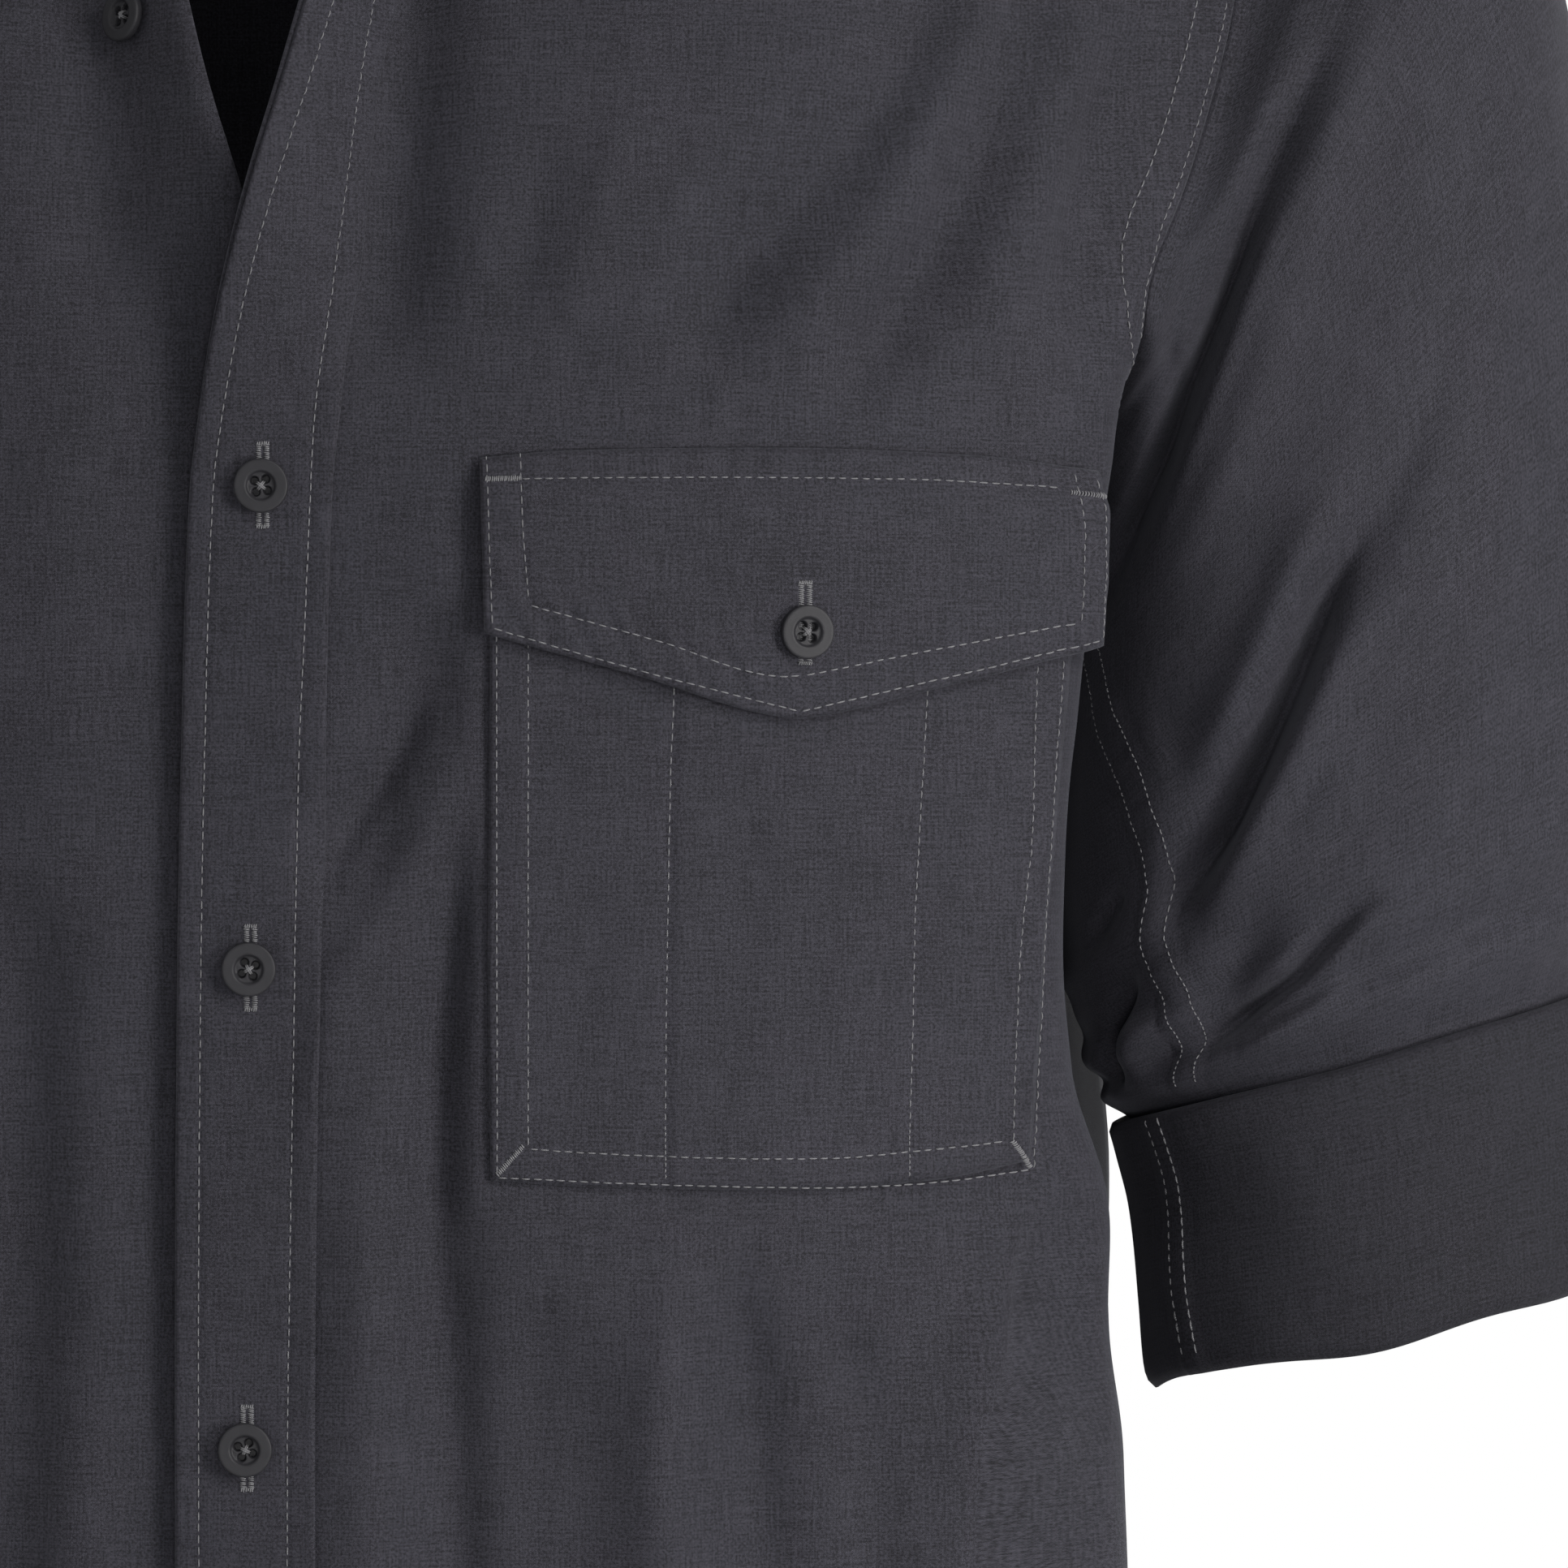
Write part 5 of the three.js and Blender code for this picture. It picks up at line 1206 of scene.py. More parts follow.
# ---------------------------------------------------------------- button band, pocket, flap
BAND_ROW_INNER = Table(["z", "x"], [
    [-770, 7.0], [-466, 6.5], [-420, 7.1], [-375, 7.9], [-324, 8.7], [-283, 10.5], [-255, 11.7],
    [-244, 12.2], [-221, 14.6], [-189, 18.5], [-170, 20.6], [-150, 23.6], [-120, 30.6],
    [-95, 38.6], [0, 38.6],
])
BAND_ROW_EDGE = 5.0


def band_relief(x, z):
    """Height of the button band over the front: its sewing, its puckers and its edges."""
    edge, inner = EDGE_LEFT.edge(z), EDGE_LEFT.inner(z)
    rise = 0.0
    for row in (edge + BAND_ROW_EDGE, BAND_ROW_INNER.x(z)):
        rise = rise - 0.3 * np.exp(-((x - row) / 0.85) ** 2)
        rise = rise + 0.14 * pucker(z + x * 0.6, 8.0) * np.exp(-((x - row) / 4.0) ** 2)
    for d in (x - edge, inner - x):
        rise = rise - 0.5 * np.clip(1 - d / 1.1, 0, 1) ** 2
    for hole in BUTTON_HEIGHTS:
        rise = rise - 0.5 * np.exp(-(((x - (edge + inner) / 2) / 6) ** 2 + ((z - hole) / 9) ** 2))
    return rise


def band_point(x, z, up=0.0):
    base = left_point(x, z, left_fine(x, z))
    n = surface_normal(left_point, x, z, -1)
    return base + n * (BAND_TOP + band_relief(x, z) + up)[..., None]


def spread(length, fine, coarse, edges, reach=2.4):
    """Places from 0 to length: fine spacing near the named edges and coarse between."""
    at = [0.0]
    while at[-1] < length - 1e-6:
        near = min(abs(at[-1] + 0.3 - e) for e in edges) < reach
        at.append(min(length, at[-1] + (fine if near else coarse)))
    if len(at) > 2 and at[-1] - at[-2] < fine * 0.5:
        at.pop(-2)
    return np.array(at)


band_across = spread(30.0, 0.5, 1.3, (0, 5, 24, 30)) / 30.0
band_z = np.concatenate([np.linspace(HEM_FRONT_Z, -486, 60, endpoint=False),
                         np.arange(-486, -160, 0.85), np.linspace(-160, -97, 40)])
bs, bz = np.meshgrid(band_across, band_z)
bx = mix(EDGE_LEFT.edge(bz), EDGE_LEFT.inner(bz), bs)
band = cloth_piece("shirt_button_band", band_point(bx, bz), CLOTH, BAND_THICK, INSIDE_LEFT,
                   uv=np.stack([bx, bz + 0.4], -1) * MM, replaces=["placket"])

POCKET_CREASES = [
    [6, 10, -0.7, [[100, -312], [104, -340], [98, -372], [102, -396]]],
    [8, 6, 0.6, [[122, -308], [126, -340], [120, -380]]],
    [5, 8, -0.6, [[66, -320], [72, -350], [66, -385]]],
    [9, 7, 0.5, [[150, -310], [152, -340], [148, -380]]],
    [6, 8, -0.5, [[74, -300], [90, -312], [108, -316]]],
]
PLEAT_LEFT = Table(["z", "x"], [[-404, 86.9], [-401, 86.9], [-324, 87.9], [-298, 88.8], [-240, 90]])
PLEAT_RIGHT = Table(["z", "x"], [[-404, 137.1], [-400, 137.2], [-341, 138.8], [-300, 141],
                                 [-240, 143]])
POCKET_IN_LEFT = Table(["z", "x"], [[-404, 57.3], [-296, 57.5], [-240, 57.6]])
POCKET_IN_RIGHT = Table(["z", "x"], [[-404, 159.5], [-394.6, 159.6], [-359, 160.4],
                                     [-324, 163.4], [-296, 164.4], [-240, 167]])
POCKET_OUT_RIGHT = Table(["z", "x"], [[-404, 164], [-399.3, 164.1], [-367.7, 165.3],
                                      [-323.9, 167.5], [-296, 169.2], [-240, 172]])
POCKET_OUT_LEFT = 50.8
POCKET_IN_FOOT = Table(["x", "z"], [[50, -394.5], [57.3, -395.3], [91.7, -397.2], [117.6, -397.8],
                                    [135, -396.8], [159.2, -394.6], [166, -394]])
POCKET_OUT_FOOT = Table(["x", "z"], [[50, -401.3], [91.7, -403.2], [126.3, -404.0],
                                     [163.2, -401], [166, -400.5]])


def line_sink(d, deep=0.3, wide=0.85):
    return -deep * np.exp(-(d / wide) ** 2)


def pocket_relief(x, z):
    t = np.clip((z - POCKET_FOOT.z((x - 49) / 116)) / (POCKET_TOP_Z + 404), 0, 1)
    left, right = POCKET_EDGES.left(t), POCKET_EDGES.right(t)
    foot = z - POCKET_FOOT.z(np.clip((x - left) / (right - left), 0, 1))
    rise = crease_rise(POCKET_CREASES, x, z) + 0.9 * unrest(x + 90, z)
    band = np.maximum(np.maximum(1 - ease((x - POCKET_IN_LEFT.x(z)) / 1.6),
                                 ease((x - POCKET_IN_RIGHT.x(z)) / 1.6 + 1)),
                      1 - ease((z - POCKET_IN_FOOT.z(x)) / 1.6))
    rise = rise + 0.35 * band
    pleat = ease((x - PLEAT_LEFT.x(z)) / 1.4) * ease((PLEAT_RIGHT.x(z) - x) / 1.4)
    rise = rise + 0.45 * pleat
    inner = z > POCKET_IN_FOOT.z(x)
    for d in (x - PLEAT_LEFT.x(z) + 0.6, x - PLEAT_RIGHT.x(z) - 0.6):
        rise = rise + line_sink(d, 0.4)
    for d in (x - POCKET_IN_LEFT.x(z), x - POCKET_IN_RIGHT.x(z)):
        rise = rise + line_sink(d, 0.35) * inner
    for d in (x - POCKET_OUT_LEFT, x - POCKET_OUT_RIGHT.x(z)):
        rise = rise + line_sink(d, 0.2)
    side_wave = np.exp(-((x - 54) / 4.0) ** 2) + np.exp(-((x - 163) / 4.0) ** 2)
    rise = rise + 0.16 * pucker(z, 8.4) * side_wave
    foot_wave = np.exp(-((z + 399.5) / 4.5) ** 2)
    rise = rise + 0.2 * pucker(x + 0.4 * z, 7.4) * foot_wave
    rise = rise + line_sink(z - POCKET_IN_FOOT.z(x), 0.35)
    rise = rise + line_sink(z - POCKET_OUT_FOOT.z(x), 0.2)
    edge = np.minimum(np.minimum(x - left, right - x), foot)
    return rise - 0.5 * np.clip(1 - edge / 1.2, 0, 1) ** 2


def pocket_up(x, z):
    t = np.clip((z - POCKET_FOOT.z((x - 49) / 116)) / (POCKET_TOP_Z + 404), 0, 1)
    left, right = POCKET_EDGES.left(t), POCKET_EDGES.right(t)
    s = (x - left) / (right - left)
    return 1.3 * ease((s - 0.7) / 0.2)


def pocket_point(x, z, up=0.0):
    base = left_point(x, z)
    n = surface_normal(left_point, x, z, -1)
    return base + n * (POCKET_TOP + pocket_up(x, z) + pocket_relief(x, z) + up)[..., None]


pocket_u = spread(1, 0.0055, 0.0095, (0, 0.07, 0.34, 0.78, 0.94, 1), 0.02)
pocket_v = spread(1, 0.0055, 0.0100, (0, 0.05, 1), 0.02)
ps, pt = np.meshgrid(pocket_u, pocket_v)
px = mix(POCKET_EDGES.left(pt), POCKET_EDGES.right(pt), ps)
pz = mix(POCKET_FOOT.z(ps), POCKET_TOP_Z, pt)
pocket = cloth_piece("shirt_pocket", pocket_point(px, pz), CLOTH, POCKET_THICK, INSIDE_LEFT,
                     uv=np.stack([px, pz], -1) * MM, replaces=["pocket"])


def flap_place(s, t):
    x = mix(mix(48.2, 47.2, t), 177.2, s)
    z = mix(FLAP_FOOT.z(s), FLAP_HEAD.z(s), t)
    return x, z


FLAP_CREASES = [
    [3, 6, -0.8, [[176, -258], [160, -255.5], [146, -253.5]]],
    [5, 8, -0.6, [[80, -262], [92, -272], [96, -286]]],
    [6, 8, 0.5, [[128, -262], [134, -276], [132, -290]]],
    [5, 7, -0.5, [[150, -266], [156, -276], [152, -288]]],
]
FLAP_IN = [[55.8, -247], [56.2, -262], [57.5, -280.1], [84, -287.4], [110.7, -294.9], [115, -294.7],
           [143, -288.7], [171, -282.8], [171.8, -266], [172.1, -249]]
FLAP_OUT = [[48.7, -247.5], [49.2, -265], [49.9, -284.9], [80, -293.6], [113.9, -302.4],
            [146, -294.4], [176.2, -286.2], [176.0, -268], [175.9, -250]]
FLAP_TOP_ROW = [[55.8, -253.5], [78, -253.2], [100.3, -253], [134.9, -253], [170, -254.1]]


def flap_relief(x, z, s, t):
    rise = crease_rise(FLAP_CREASES, x, z) + 0.8 * unrest(x, z + 77)
    d_in, _, _ = path_distance(FLAP_IN, x, z)
    d_out, _, _ = path_distance(FLAP_OUT, x, z)
    d_top, _, _ = path_distance(FLAP_TOP_ROW, x, z)
    rise = rise + line_sink(d_in, 0.34) + line_sink(d_out, 0.22) + line_sink(d_top, 0.34)
    band = np.exp(-((np.minimum(d_in, d_out)) / 4.2) ** 2)
    lower = ease((-270 - z) / 14)
    rise = rise + (0.12 + 0.26 * lower * ease((128 - x) / 30)) * pucker(x + 0.5 * z, 6.6) * band
    rise = rise + 0.16 * pucker(x - 0.3 * z, 8.8) * np.exp(-((z + 251) / 4.5) ** 2)
    edge = np.minimum(np.minimum(s, 1 - s) * 129.5, t * 42)
    rise = rise - 0.5 * np.clip(1 - edge / 1.2, 0, 1) ** 2
    head = (1 - t) * 42
    return rise - 0.7 * np.clip(1 - head / 1.6, 0, 1) ** 2


def flap_up(s, t):
    return 0.3 + FLAP_LIFT * ease((1 - t) / 0.25) + 1.3 * ease((s - 0.65) / 0.2)


def flap_point(s, t, up=0.0):
    x, z = flap_place(s, t)
    base = left_point(x, z)
    n = surface_normal(left_point, x, z, -1)
    return base + n * (FLAP_TOP + flap_up(s, t) + flap_relief(x, z, s, t) + up)[..., None]


def flap_on(x, z, up):
    """Flap point by x and z, for what is sewn on it."""
    t = np.full(np.shape(x), 0.5)
    for _ in range(3):
        s = (x - mix(48.2, 47.2, t)) / (177.2 - mix(48.2, 47.2, t))
        foot, head = FLAP_FOOT.z(s), FLAP_HEAD.z(s)
        t = np.clip((z - foot) / (head - foot), 0, 1)
    return flap_point(s, t, up)


flap_s = spread(1, 0.005, 0.0075, (0, 0.06, 0.5, 0.96, 1), 0.02)
flap_t = spread(1, 0.013, 0.02, (0, 0.16, 0.88, 1), 0.05)
fs, ft = np.meshgrid(flap_s, flap_t)
fx, fz = flap_place(fs, ft)
flap = cloth_piece("shirt_pocket_flap", flap_point(fs, ft), CLOTH, FLAP_THICK, INSIDE_LEFT,
                   uv=np.stack([fx, fz], -1) * MM, replaces=["pocket_flap"])


# ---------------------------------------------------------------- collar
def neck_ring(count):
    """Base points round the neck, with the surface normal there, front left to front right."""
    pts, ups, fronts, sides = [], [], [], []

    def add(point, place, mirror, sign):
        x, z = float(place[0]), float(place[1])
        p = point(np.array([x]), np.array([z]))[0]
        du = point(np.array([x + 1]), np.array([z - 0.5])) - point(np.array([x - 1]),
                                                                   np.array([z - 0.5]))
        dv = point(np.array([x]), np.array([z - 0.2])) - point(np.array([x]), np.array([z - 2.2]))
        n = unit(np.cross(du, dv))[0]
        if n[1] * sign < 0:
            n = -n
        if mirror:
            p, n = p * [-1, 1, 1], n * [-1, 1, 1]
        pts.append(p)
        ups.append(n)
        fronts.append(sign < 0)
        sides.append(-1 if mirror else 1)

    for k in range(count):
        add(left_point, front_neck(EDGE_LEFT, k / count), False, -1)
    for k in range(count, 0, -1):
        add(lambda x, z: back_point(1, x, z), back_neck(k / count), False, 1)
    for k in range(count):
        add(lambda x, z: back_point(-1, x, z), back_neck(k / count), True, 1)
    for k in range(count, -1, -1):
        add(right_point, front_neck(EDGE_RIGHT, k / count), True, -1)
    return np.array(pts), np.array(ups), np.array(fronts), np.array(sides)


def clear_of_body(q, front, side):
    """Lifts collar points until they lie clear above the shoulder, the chest or the back."""
    out = q.copy()
    for is_front in (True, False):
        for s in (1, -1):
            m = (front == is_front) & (side == s)
            if not m.any():
                continue
            if is_front:
                point = left_point if s > 0 else right_point
            else:
                point = (lambda x, z, s=s: back_point(s, x, z))
            sign = -1 if is_front else 1
            x = np.abs(q[m, 0])
            z = np.minimum(q[m, 2], ridge(x) - 0.5)
            body = point(x, z)
            n = surface_normal(point, x, z, sign, 2.0)
            over = ((np.stack([x, q[m, 1], q[m, 2]], -1) - body) * n).sum(-1)
            short = np.maximum(0, LEAF_CLEAR + LEAF_WALL - over)[:, None]
            out[m] = q[m] + n * [s, 1, 1] * short
    return out


COUNT = 36
ring_p, ring_up, ring_front, ring_side = neck_ring(COUNT)
n_ring = len(ring_p)
idx = np.arange(n_ring)
along = unit(ring_p[np.minimum(idx + 1, n_ring - 1)] - ring_p[np.maximum(idx - 1, 0)])
out = unit(np.stack([ring_p[:, 0], ring_p[:, 1] + 12, 0 * idx], -1))
zed = np.array([0.0, 0.0, 1.0])
square = unit(zed - along * along[:, 2:3])
from_end = np.minimum(idx, n_ring - 1 - idx) / (n_ring - 1)
lean = mix(0.1, -0.16, ease(from_end / 0.22))
tall = np.where(from_end < 0.25, mix(STAND_FRONT, STAND_SIDE, ease(from_end / 0.25)),
                mix(STAND_SIDE, STAND_BACK, ease((from_end - 0.25) / 0.25)))
rise_dir = unit(zed * 0.55 + square * 0.45 + out * lean[:, None])
away = unit(np.cross(along, ring_up))
away = np.where((((away * out).sum(-1) < 0) & (away[:, 2] > 0))[:, None], -away, away)
away = np.where((away[:, 2] > 0.2)[:, None], -away, away)
face = unit(np.cross(along, rise_dir))
face = np.where(((face * out).sum(-1) < 0)[:, None], -face, face)

stand_rows = []
for t in np.linspace(0, 1, 18):
    soft = -0.5 * (np.clip(1 - t / 0.05, 0, 1) ** 2 + np.clip((t - 0.95) / 0.05, 0, 1) ** 2)
    wave = 0.25 * pucker(idx * 3.1, 9.0) * np.exp(-((t - 0.12) / 0.12) ** 2)
    lift = (soft + wave + line_sink(t * tall - 3.0, 0.25, 1.4))[:, None] * out
    stand_rows.append(ring_p + rise_dir * (0.4 + tall * t)[:, None] + lift)
stand_grid = np.array(stand_rows)
stand = cloth_piece("shirt_collar_stand", stand_grid, CLOTH, 1.6,
                    stand_grid - out[None] * 30, replaces=["collar_stand"])

used = slice(COUNT // 9, n_ring - COUNT // 9)
p, up, o, r, tl = ring_p[used], ring_up[used], out[used], rise_dir[used], tall[used][:, None]
fe, aw = from_end[used], away[used]
top = p + r * (tl + 1)
tip = 1 - ease((fe - 0.03) / 0.26)
reach = mix(LEAF_BACK_REACH, LEAF_FRONT_REACH, tip)[:, None]
spread_x = np.stack([np.sign(p[:, 0]) * 0.42 * tip, 0 * tip, 0 * tip], -1)
fall = unit(aw + spread_x)
foot = p + fall * reach + up * LEAF_CLEAR
a = top - o * STAND_WALL + r * 0.6
b = top + o * 0.8 + r * 0.9
c = top + o * 3.4 - r * 2.2
bow = p + r * tl * 0.4 + o * 11
leaf_rows = []
for t in np.linspace(0, 1, 7)[:-1]:
    leaf_rows.append(a * (2 * t - 1) * (t - 1) + b * 4 * t * (1 - t) + c * t * (2 * t - 1))
for t in np.linspace(0, 1, 26):
    q = c * (1 - t) ** 2 + bow * 2 * t * (1 - t) + foot * t * t
    leaf_rows.append(clear_of_body(q, ring_front[used], ring_side[used]) if t > 0.2 else q)
leaf_near = np.array(leaf_rows)


def grid_normals(grid):
    du = np.gradient(grid, axis=1)
    dv = np.gradient(grid, axis=0)
    return unit(np.cross(du, dv))


leaf_n = grid_normals(leaf_near)
mid = leaf_near.shape[1] // 2
leaf_n = leaf_n * (1 if leaf_n[18, mid, 1] > 0 else -1)
leaf_len = np.concatenate([np.zeros((1, leaf_near.shape[1])),
                           np.cumsum(np.linalg.norm(np.diff(leaf_near, axis=0), axis=-1), 0)])
from_foot = leaf_len[-1:] - leaf_len
from_tip = np.minimum(np.arange(leaf_near.shape[1]),
                      np.arange(leaf_near.shape[1])[::-1])[None] * 2.6
rim = np.minimum(from_foot, from_tip)
leaf_up = (1.6 + line_sink(rim - 6.0, 0.3, 1.2) - 0.5 * np.clip(1 - rim / 1.6, 0, 1) ** 2
           + 0.2 * pucker(np.arange(leaf_near.shape[1])[None] * 3.0, 9.5)
           * np.exp(-((rim - 4) / 4) ** 2))
leaf_grid = leaf_near + leaf_n * leaf_up[..., None]
leaf = cloth_piece("shirt_collar_leaf", leaf_grid, CLOTH, 1.3, leaf_grid - leaf_n * 10,
                   replaces=["collar_leaf"])


# ---------------------------------------------------------------- buttons
HOLE_RADIUS, HOLE_OUT = 0.95, 1.7
BUTTON_PROFILE = Table(["r", "h"], [
    [0, 1.62], [2.6, 1.62], [2.8, 1.68], [3.05, 2.08], [3.25, 2.36], [3.5, 2.42], [4.3, 2.4],
    [4.9, 2.42], [5.4, 2.4], [5.6, 2.3], [5.72, 2.1], [5.75, 1.8],
])


def button_mesh(name, at, facing, turn, node):
    """Four-hole button: a bare wide rim, a sunk middle and four moulded holes."""
    around = 80
    radii = np.concatenate([[0.02], np.arange(0.25, 2.85, 0.13), [2.95, 3.05, 3.2, 3.4, 3.6, 3.8,
                            4.3, 4.9, 5.2, 5.4, 5.6, 5.72, 5.75]])
    a = np.arange(around) * 2 * math.pi / around
    rr, aa = np.meshgrid(radii, a, indexing="ij")
    h = BUTTON_PROFILE.h(rr)
    for k in range(4):
        t = math.radians(45 + 90 * k)
        d = np.hypot(rr * np.cos(aa) - HOLE_OUT * math.cos(t),
                     rr * np.sin(aa) - HOLE_OUT * math.sin(t))
        h = h - 1.48 * ease((HOLE_RADIUS - d) / 0.28 + 0.3)
    top = np.stack([rr * np.cos(aa), rr * np.sin(aa), h], -1)
    under = [(5.75, 0.95), (5.3, 0.4), (4.7, 0.1), (0.5, 0.1)]
    low = np.array([[(r * math.cos(t), r * math.sin(t), z) for t in a] for r, z in under])
    grid = np.concatenate([top, low], 0)
    n = np.asarray(facing, float)
    side = unit(np.cross([0.0, 0.0, 1.0], n))
    up = np.cross(n, side)
    ct, st = math.cos(math.radians(turn)), math.sin(math.radians(turn))
    e1, e2 = side * ct + up * st, up * ct - side * st
    pts = np.asarray(at) + grid[..., :1] * e1 + grid[..., 1:2] * e2 + grid[..., 2:] * n
    faces = grid_faces(len(grid), around, closed=True)
    if look_inward(pts.reshape(-1, 3), faces, np.asarray(at) + n * 1.2):
        faces = faces[:, ::-1]
    obj = make_object(name, pts.reshape(-1, 3), faces, None, PLASTIC)
    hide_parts(node)
    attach(obj, "root")
    return e1, e2, n


def button_threads(thread, at, e1, e2, n):
    """Thread crossing between the four holes."""
    lines, ups = [], []
    for k in range(4):
        t = math.radians(45 + 90 * (k % 2))
        d = e1 * math.cos(t) + e2 * math.sin(t)
        shift = np.cross(n, d) * (0.17 if k < 2 else -0.17)
        offs = np.array([-1.2, -0.85, 0.0, 0.85, 1.2])
        high = np.array([0.7, 1.7, 1.9 + 0.12 * (k % 2), 1.7, 0.7])
        lines.append(at + d * offs[:, None] + n * high[:, None] + shift)
        ups.append(n)
    thread.tubes(np.array(lines), np.array(ups), 0.15)


def buttonhole(thread, place, x, z, half, seed):
    """Upright buttonhole: two close rows of satin thread and a bar at each end."""
    for off in (-0.85, 0.85):
        thread.bars(place, (x + off, z - half), (x + off, z + half), 1.3, 0.42, 0.16, seed)
    for end in (-half, half):
        thread.bars(place, (x - 1.4, z + end), (x + 1.4, z + end), 1.0, 0.4, 0.17, seed + 5)


button_thread = Thread()
hole_thread = Thread()
BUTTON_TURNS = [8, -14, 20, 5, -9]
for k, z in enumerate(BUTTON_HEIGHTS):
    z = float(z)
    x = float(EDGE_LEFT.edge(z) + EDGE_LEFT.inner(z)) / 2
    n = surface_normal(left_point, np.array([x]), np.array([z]), -1, 2.0)[0]
    at = left_point(np.array([x]), np.array([z]))[0] + n * 2.4
    e1, e2, n = button_mesh("shirt_button_%d" % (k + 1), at, n, BUTTON_TURNS[k],
                            "button_front_%d" % (k + 1))
    button_threads(button_thread, at, e1, e2, n)
    buttonhole(hole_thread, band_point, x + 0.3, z + 0.2, 8.8, 11 + k)

x = float(EDGE_RIGHT.edge(OPEN_BUTTON_Z)) + 13
n = surface_normal(right_point, np.array([x]), np.array([OPEN_BUTTON_Z]), -1, 2.0)[0]
at = (right_point(np.array([x]), np.array([OPEN_BUTTON_Z]))[0] + n * 0.9) * [-1, 1, 1]
e1, e2, n = button_mesh("shirt_button_open", at, n * [-1, 1, 1], 12, "button_open")
button_threads(button_thread, at, e1, e2, n)

x, z = FLAP_BUTTON
n = surface_normal(left_point, np.array([x]), np.array([z]), -1, 2.0)[0]
at = left_point(np.array([x]), np.array([z]))[0] + n * (0.5 + FLAP_LIFT + 1.4 + 0.4)
e1, e2, n = button_mesh("shirt_button_flap", at, n, -6, "button_flap")
button_threads(button_thread, at, e1, e2, n)
buttonhole(hole_thread, flap_on, x, -283.6, 8.4, 31)

end = n_ring - 1 - COUNT // 9
at = ring_p[end] + rise_dir[end] * 16 + face[end] * 0.35
e1, e2, n = button_mesh("shirt_button_collar", at, face[end], 10, "button_collar")
button_threads(button_thread, at, e1, e2, n)

# ---------------------------------------------------------------- sewing
front_sewing = Thread()
z_band = np.arange(HEM_FRONT_Z + 4, -96, 12.0)
front_sewing.row(band_point, np.stack([EDGE_LEFT.edge(z_band) + BAND_ROW_EDGE, z_band], -1), seed=2)
front_sewing.row(band_point, np.stack([BAND_ROW_INNER.x(z_band), z_band], -1), seed=3)

z_pk = np.linspace(-401, POCKET_TOP_Z - 2, 9)
z_in = np.linspace(-395, POCKET_TOP_Z - 2, 9)
x_in, x_out = np.linspace(57.3, 159.6, 9), np.linspace(50.8, 164, 9)
front_sewing.row(pocket_point, np.stack([0 * z_pk + POCKET_OUT_LEFT, z_pk], -1), seed=4)
front_sewing.row(pocket_point, np.stack([POCKET_IN_LEFT.x(z_in), z_in], -1), seed=5)
front_sewing.row(pocket_point, np.stack([POCKET_OUT_RIGHT.x(z_pk), z_pk], -1), seed=6)
front_sewing.row(pocket_point, np.stack([POCKET_IN_RIGHT.x(z_in), z_in], -1), seed=7)
front_sewing.row(pocket_point, np.stack([x_out, POCKET_OUT_FOOT.z(x_out)], -1), seed=8)
front_sewing.row(pocket_point, np.stack([x_in, POCKET_IN_FOOT.z(x_in)], -1), seed=9)
for track, seed in ((PLEAT_LEFT, 10), (PLEAT_RIGHT, 11)):
    shift = -0.6 if track is PLEAT_LEFT else 0.6
    zz = np.linspace(-390, POCKET_TOP_Z - 2, 9)
    front_sewing.row(pocket_point, np.stack([track.x(zz) + shift, zz], -1), seed=seed)
    zz = np.linspace(-402, -390, 4)
    front_sewing.row(pocket_point, np.stack([track.x(zz) + shift, zz], -1), 1.3, 1.1, seed=seed)

flap_rows = (FLAP_OUT[:3], FLAP_OUT[2:5], FLAP_OUT[4:7], FLAP_OUT[6:], FLAP_IN[:3], FLAP_IN[2:6],
             FLAP_IN[5:8], FLAP_IN[7:], FLAP_TOP_ROW)
for seed, row in enumerate(flap_rows, 12):
    front_sewing.row(flap_on, row, seed=seed)
front_sewing.bars(flap_on, (48.4, -253.6), (55.8, -253.4), 1.2)
front_sewing.bars(flap_on, (170.5, -255), (177.0, -255.6), 1.2)
front_sewing.bars(pocket_point, (50.8, -400.8), (56.4, -394.6), 1.2)
front_sewing.bars(pocket_point, (159.2, -394.6), (163.5, -400.6), 1.2)
sewing_front = front_sewing.make("shirt_sewing_front", THREAD)


def seam_rows(path, distance):
    """A flat path moved sideways, away from the panel's edge."""
    p = np.array(path, float)
    d = unit(np.gradient(p, axis=0))
    return p + np.stack([-d[:, 1], d[:, 0]], -1) * distance


seam_sewing = Thread()
for which, side, shown, sign in (("front", 1, left_shown, -1), ("front", -1, right_shown, -1),
                                 ("back", 1, lambda x, z: back_shown(1, x, z), 1),
                                 ("back", -1, lambda x, z: back_shown(-1, x, z), 1)):
    def place(x, z, up, shown=shown, side=side, sign=sign):
        p = shown(x, z) + surface_normal(shown, x, z, sign, 0.8) * np.asarray(up)[..., None]
        return p * [side, 1, 1]
    for row in SEAM_ROWS:
        line = seam_rows(ARMHOLE_PATHS[which], row)
        seam_sewing.row(place, line[(line[:, 1] < -62)], seed=40 + int(row))
    if which == "back":
        zz = np.linspace(HEM_SIDE_Z + 6, UNDERARM_Z - 4, 30)
        for row in SEAM_ROWS:
            seam_sewing.row(place, np.stack([BACK.fold(zz) + WRAP - row, zz], -1), 2.9, seed=50)
seam_sewing.make("shirt_sewing_seams", THREAD)

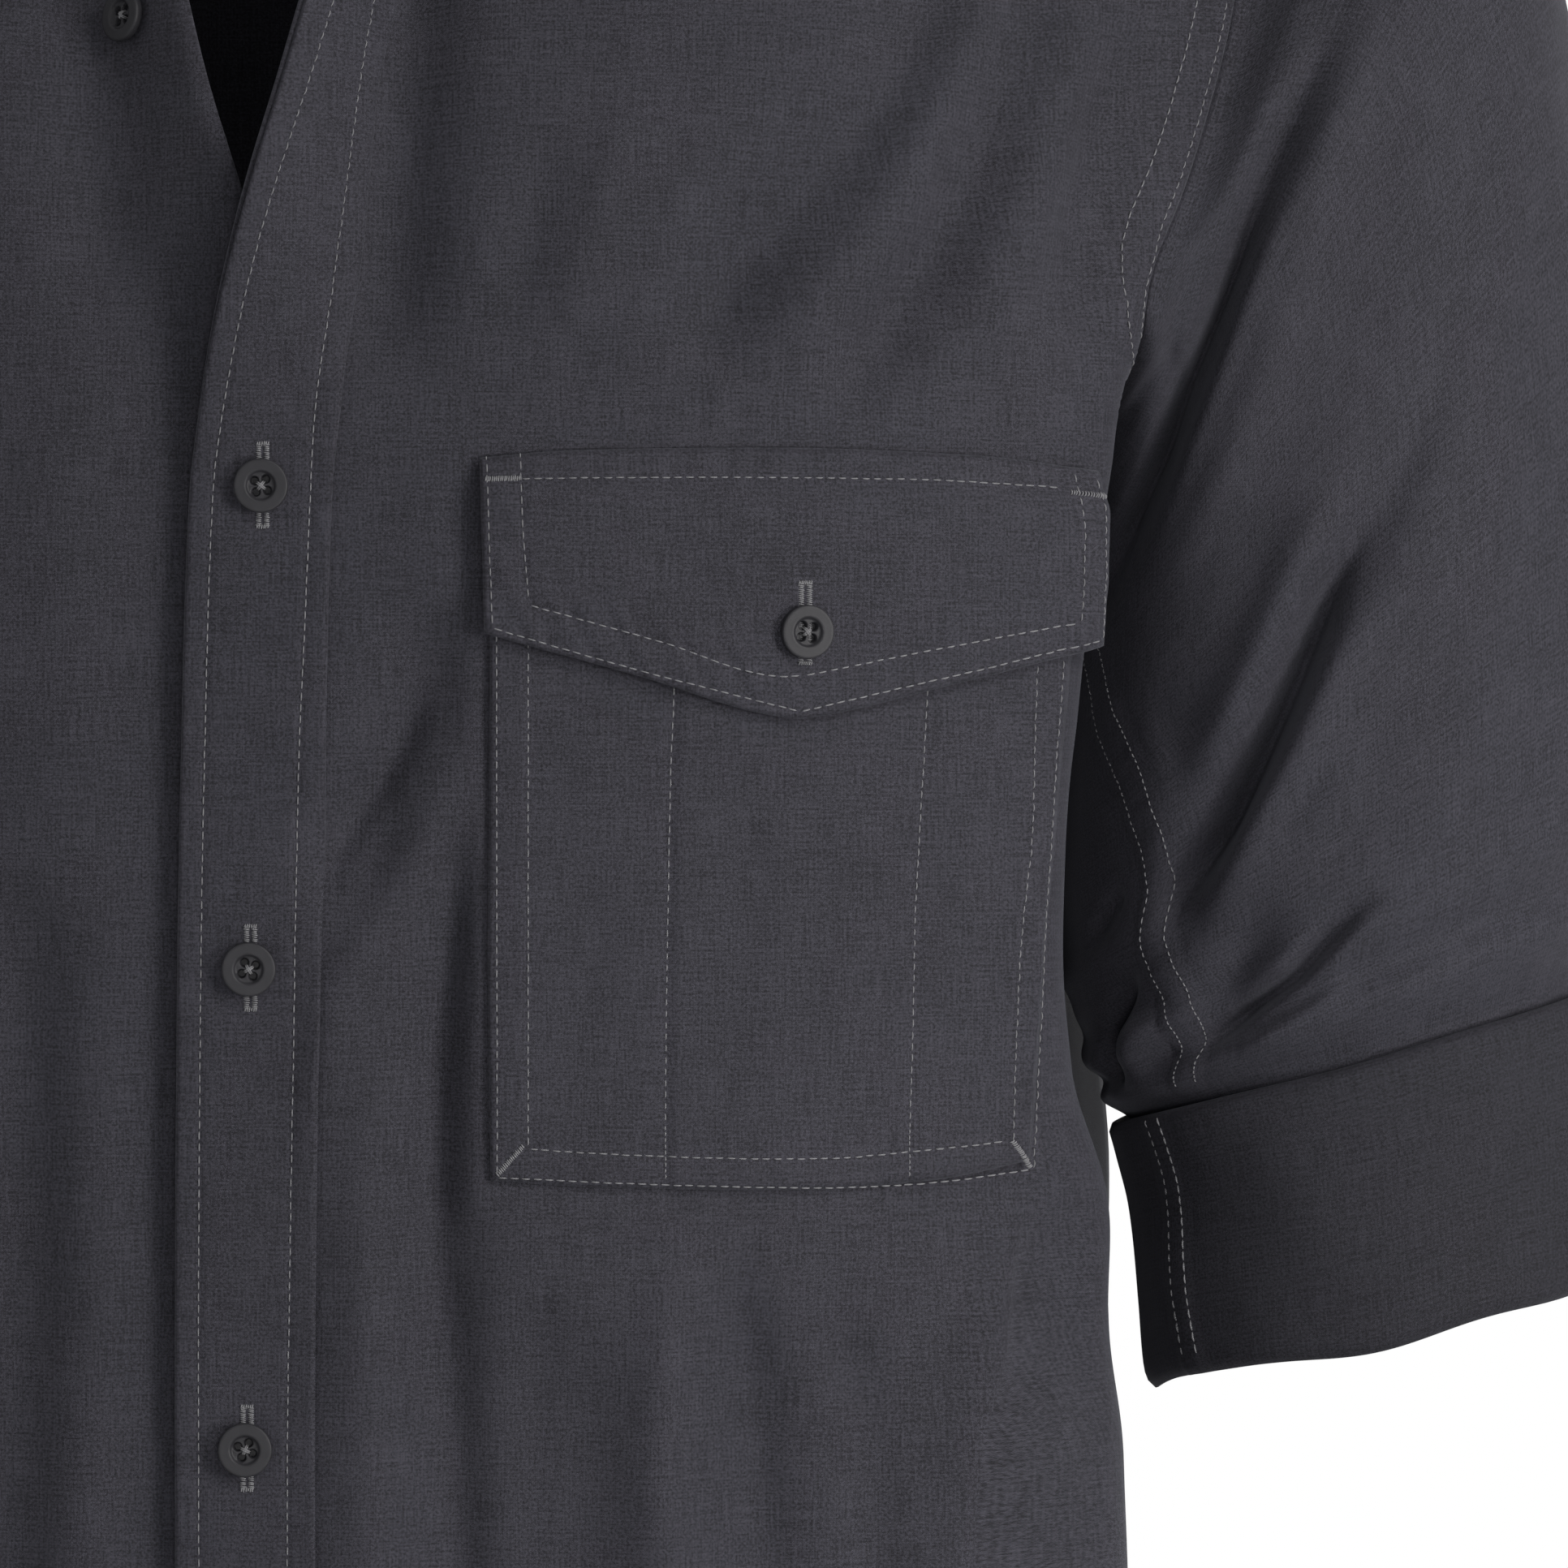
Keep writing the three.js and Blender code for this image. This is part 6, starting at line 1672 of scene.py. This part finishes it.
sleeve_sewing = Thread()
for side in (1, -1):
    def place(u, v, up, side=side):
        turn, step = u / GIRTH, v / STEP_LONG
        return sleeve_point(side, turn, step, up) * [side, 1, 1]
    for row in SEAM_ROWS:
        line = seam_rows(on_sleeve_map(SLEEVE_SEAM[1:-2]), row)
        sleeve_sewing.row(place, line, 2.5, seed=60 + int(row))

    def on_roll(turn, share, up, side=side):
        return roll_point(side, turn, share / 60, roll_relief(turn, share / 60) + up)
    for off, thick in ((-1.0, 0.24), (-6.0, 0.2)):
        share = np.linspace(1, 58, 8)
        pts = np.stack([ROLL_SEAM.turn(share / 60) + off, share], -1)
        sleeve_sewing.row(on_roll, pts, 2.5, 2.1, thick, seed=70)
sleeve_sewing.make("shirt_sewing_sleeves", THREAD)
hole_thread.make("shirt_buttonholes", THREAD)
button_thread.make("shirt_button_thread", THREAD)

# ---------------------------------------------------------------- light and camera
world = bpy.context.scene.world or bpy.data.worlds.new("studio")
bpy.context.scene.world = world
world.use_nodes = True
sky = world.node_tree.nodes.get("Background")
sky.inputs["Color"].default_value = (1.0, 1.0, 1.0, 1)
sky.inputs["Strength"].default_value = 1.0


def area_light(name, place, target, size, power, colour):
    data = bpy.data.lights.new(name, "AREA")
    data.energy = power
    data.size = size
    data.color = colour
    obj = bpy.data.objects.new(name, data)
    bpy.context.scene.collection.objects.link(obj)
    obj.location = place
    aim = np.asarray(target, float) - np.asarray(place, float)
    yaw = math.atan2(aim[0], aim[1])
    pitch = math.atan2(aim[2], math.hypot(aim[0], aim[1]))
    obj.rotation_euler = (math.pi / 2 + pitch, 0, -yaw)
    return obj


area_light("key", (1.35, -1.5, 0.8), (0.1, 0, -0.35), 0.5, 32, (1.0, 0.98, 0.95))
area_light("side", (1.05, -0.9, -0.35), (0.15, 0, -0.4), 0.35, 19, (1.0, 0.98, 0.96))
front_light = area_light("front", (0.22, -1.6, -0.6), (0.24, 0, -0.42), 0.35, 0.55,
                         (1.0, 0.99, 0.98))
front_light.data.spread = math.radians(38)
area_light("behind", (-0.9, 2.0, 0.7), (0.0, 0, -0.35), 0.8, 34, (1.0, 0.99, 0.98))

# The lens takes in VIEW_WIDE millimetres at the chest, CHEST_AWAY millimetres from the camera.
CAMERA_AT = (0.1117, -2.34, -0.318)
SENSOR_WIDE, CHEST_AWAY, VIEW_WIDE = 36.0, 2200, 331.4
cam_data = bpy.data.cameras.new("camera")
cam_data.sensor_width = SENSOR_WIDE
cam_data.lens = SENSOR_WIDE * CHEST_AWAY / VIEW_WIDE
camera = bpy.data.objects.new("camera", cam_data)
camera.location = CAMERA_AT
camera.rotation_euler = (math.pi / 2, 0, 0)
bpy.context.scene.collection.objects.link(camera)
bpy.context.scene.camera = camera
bpy.context.scene.view_settings.view_transform = "Standard"
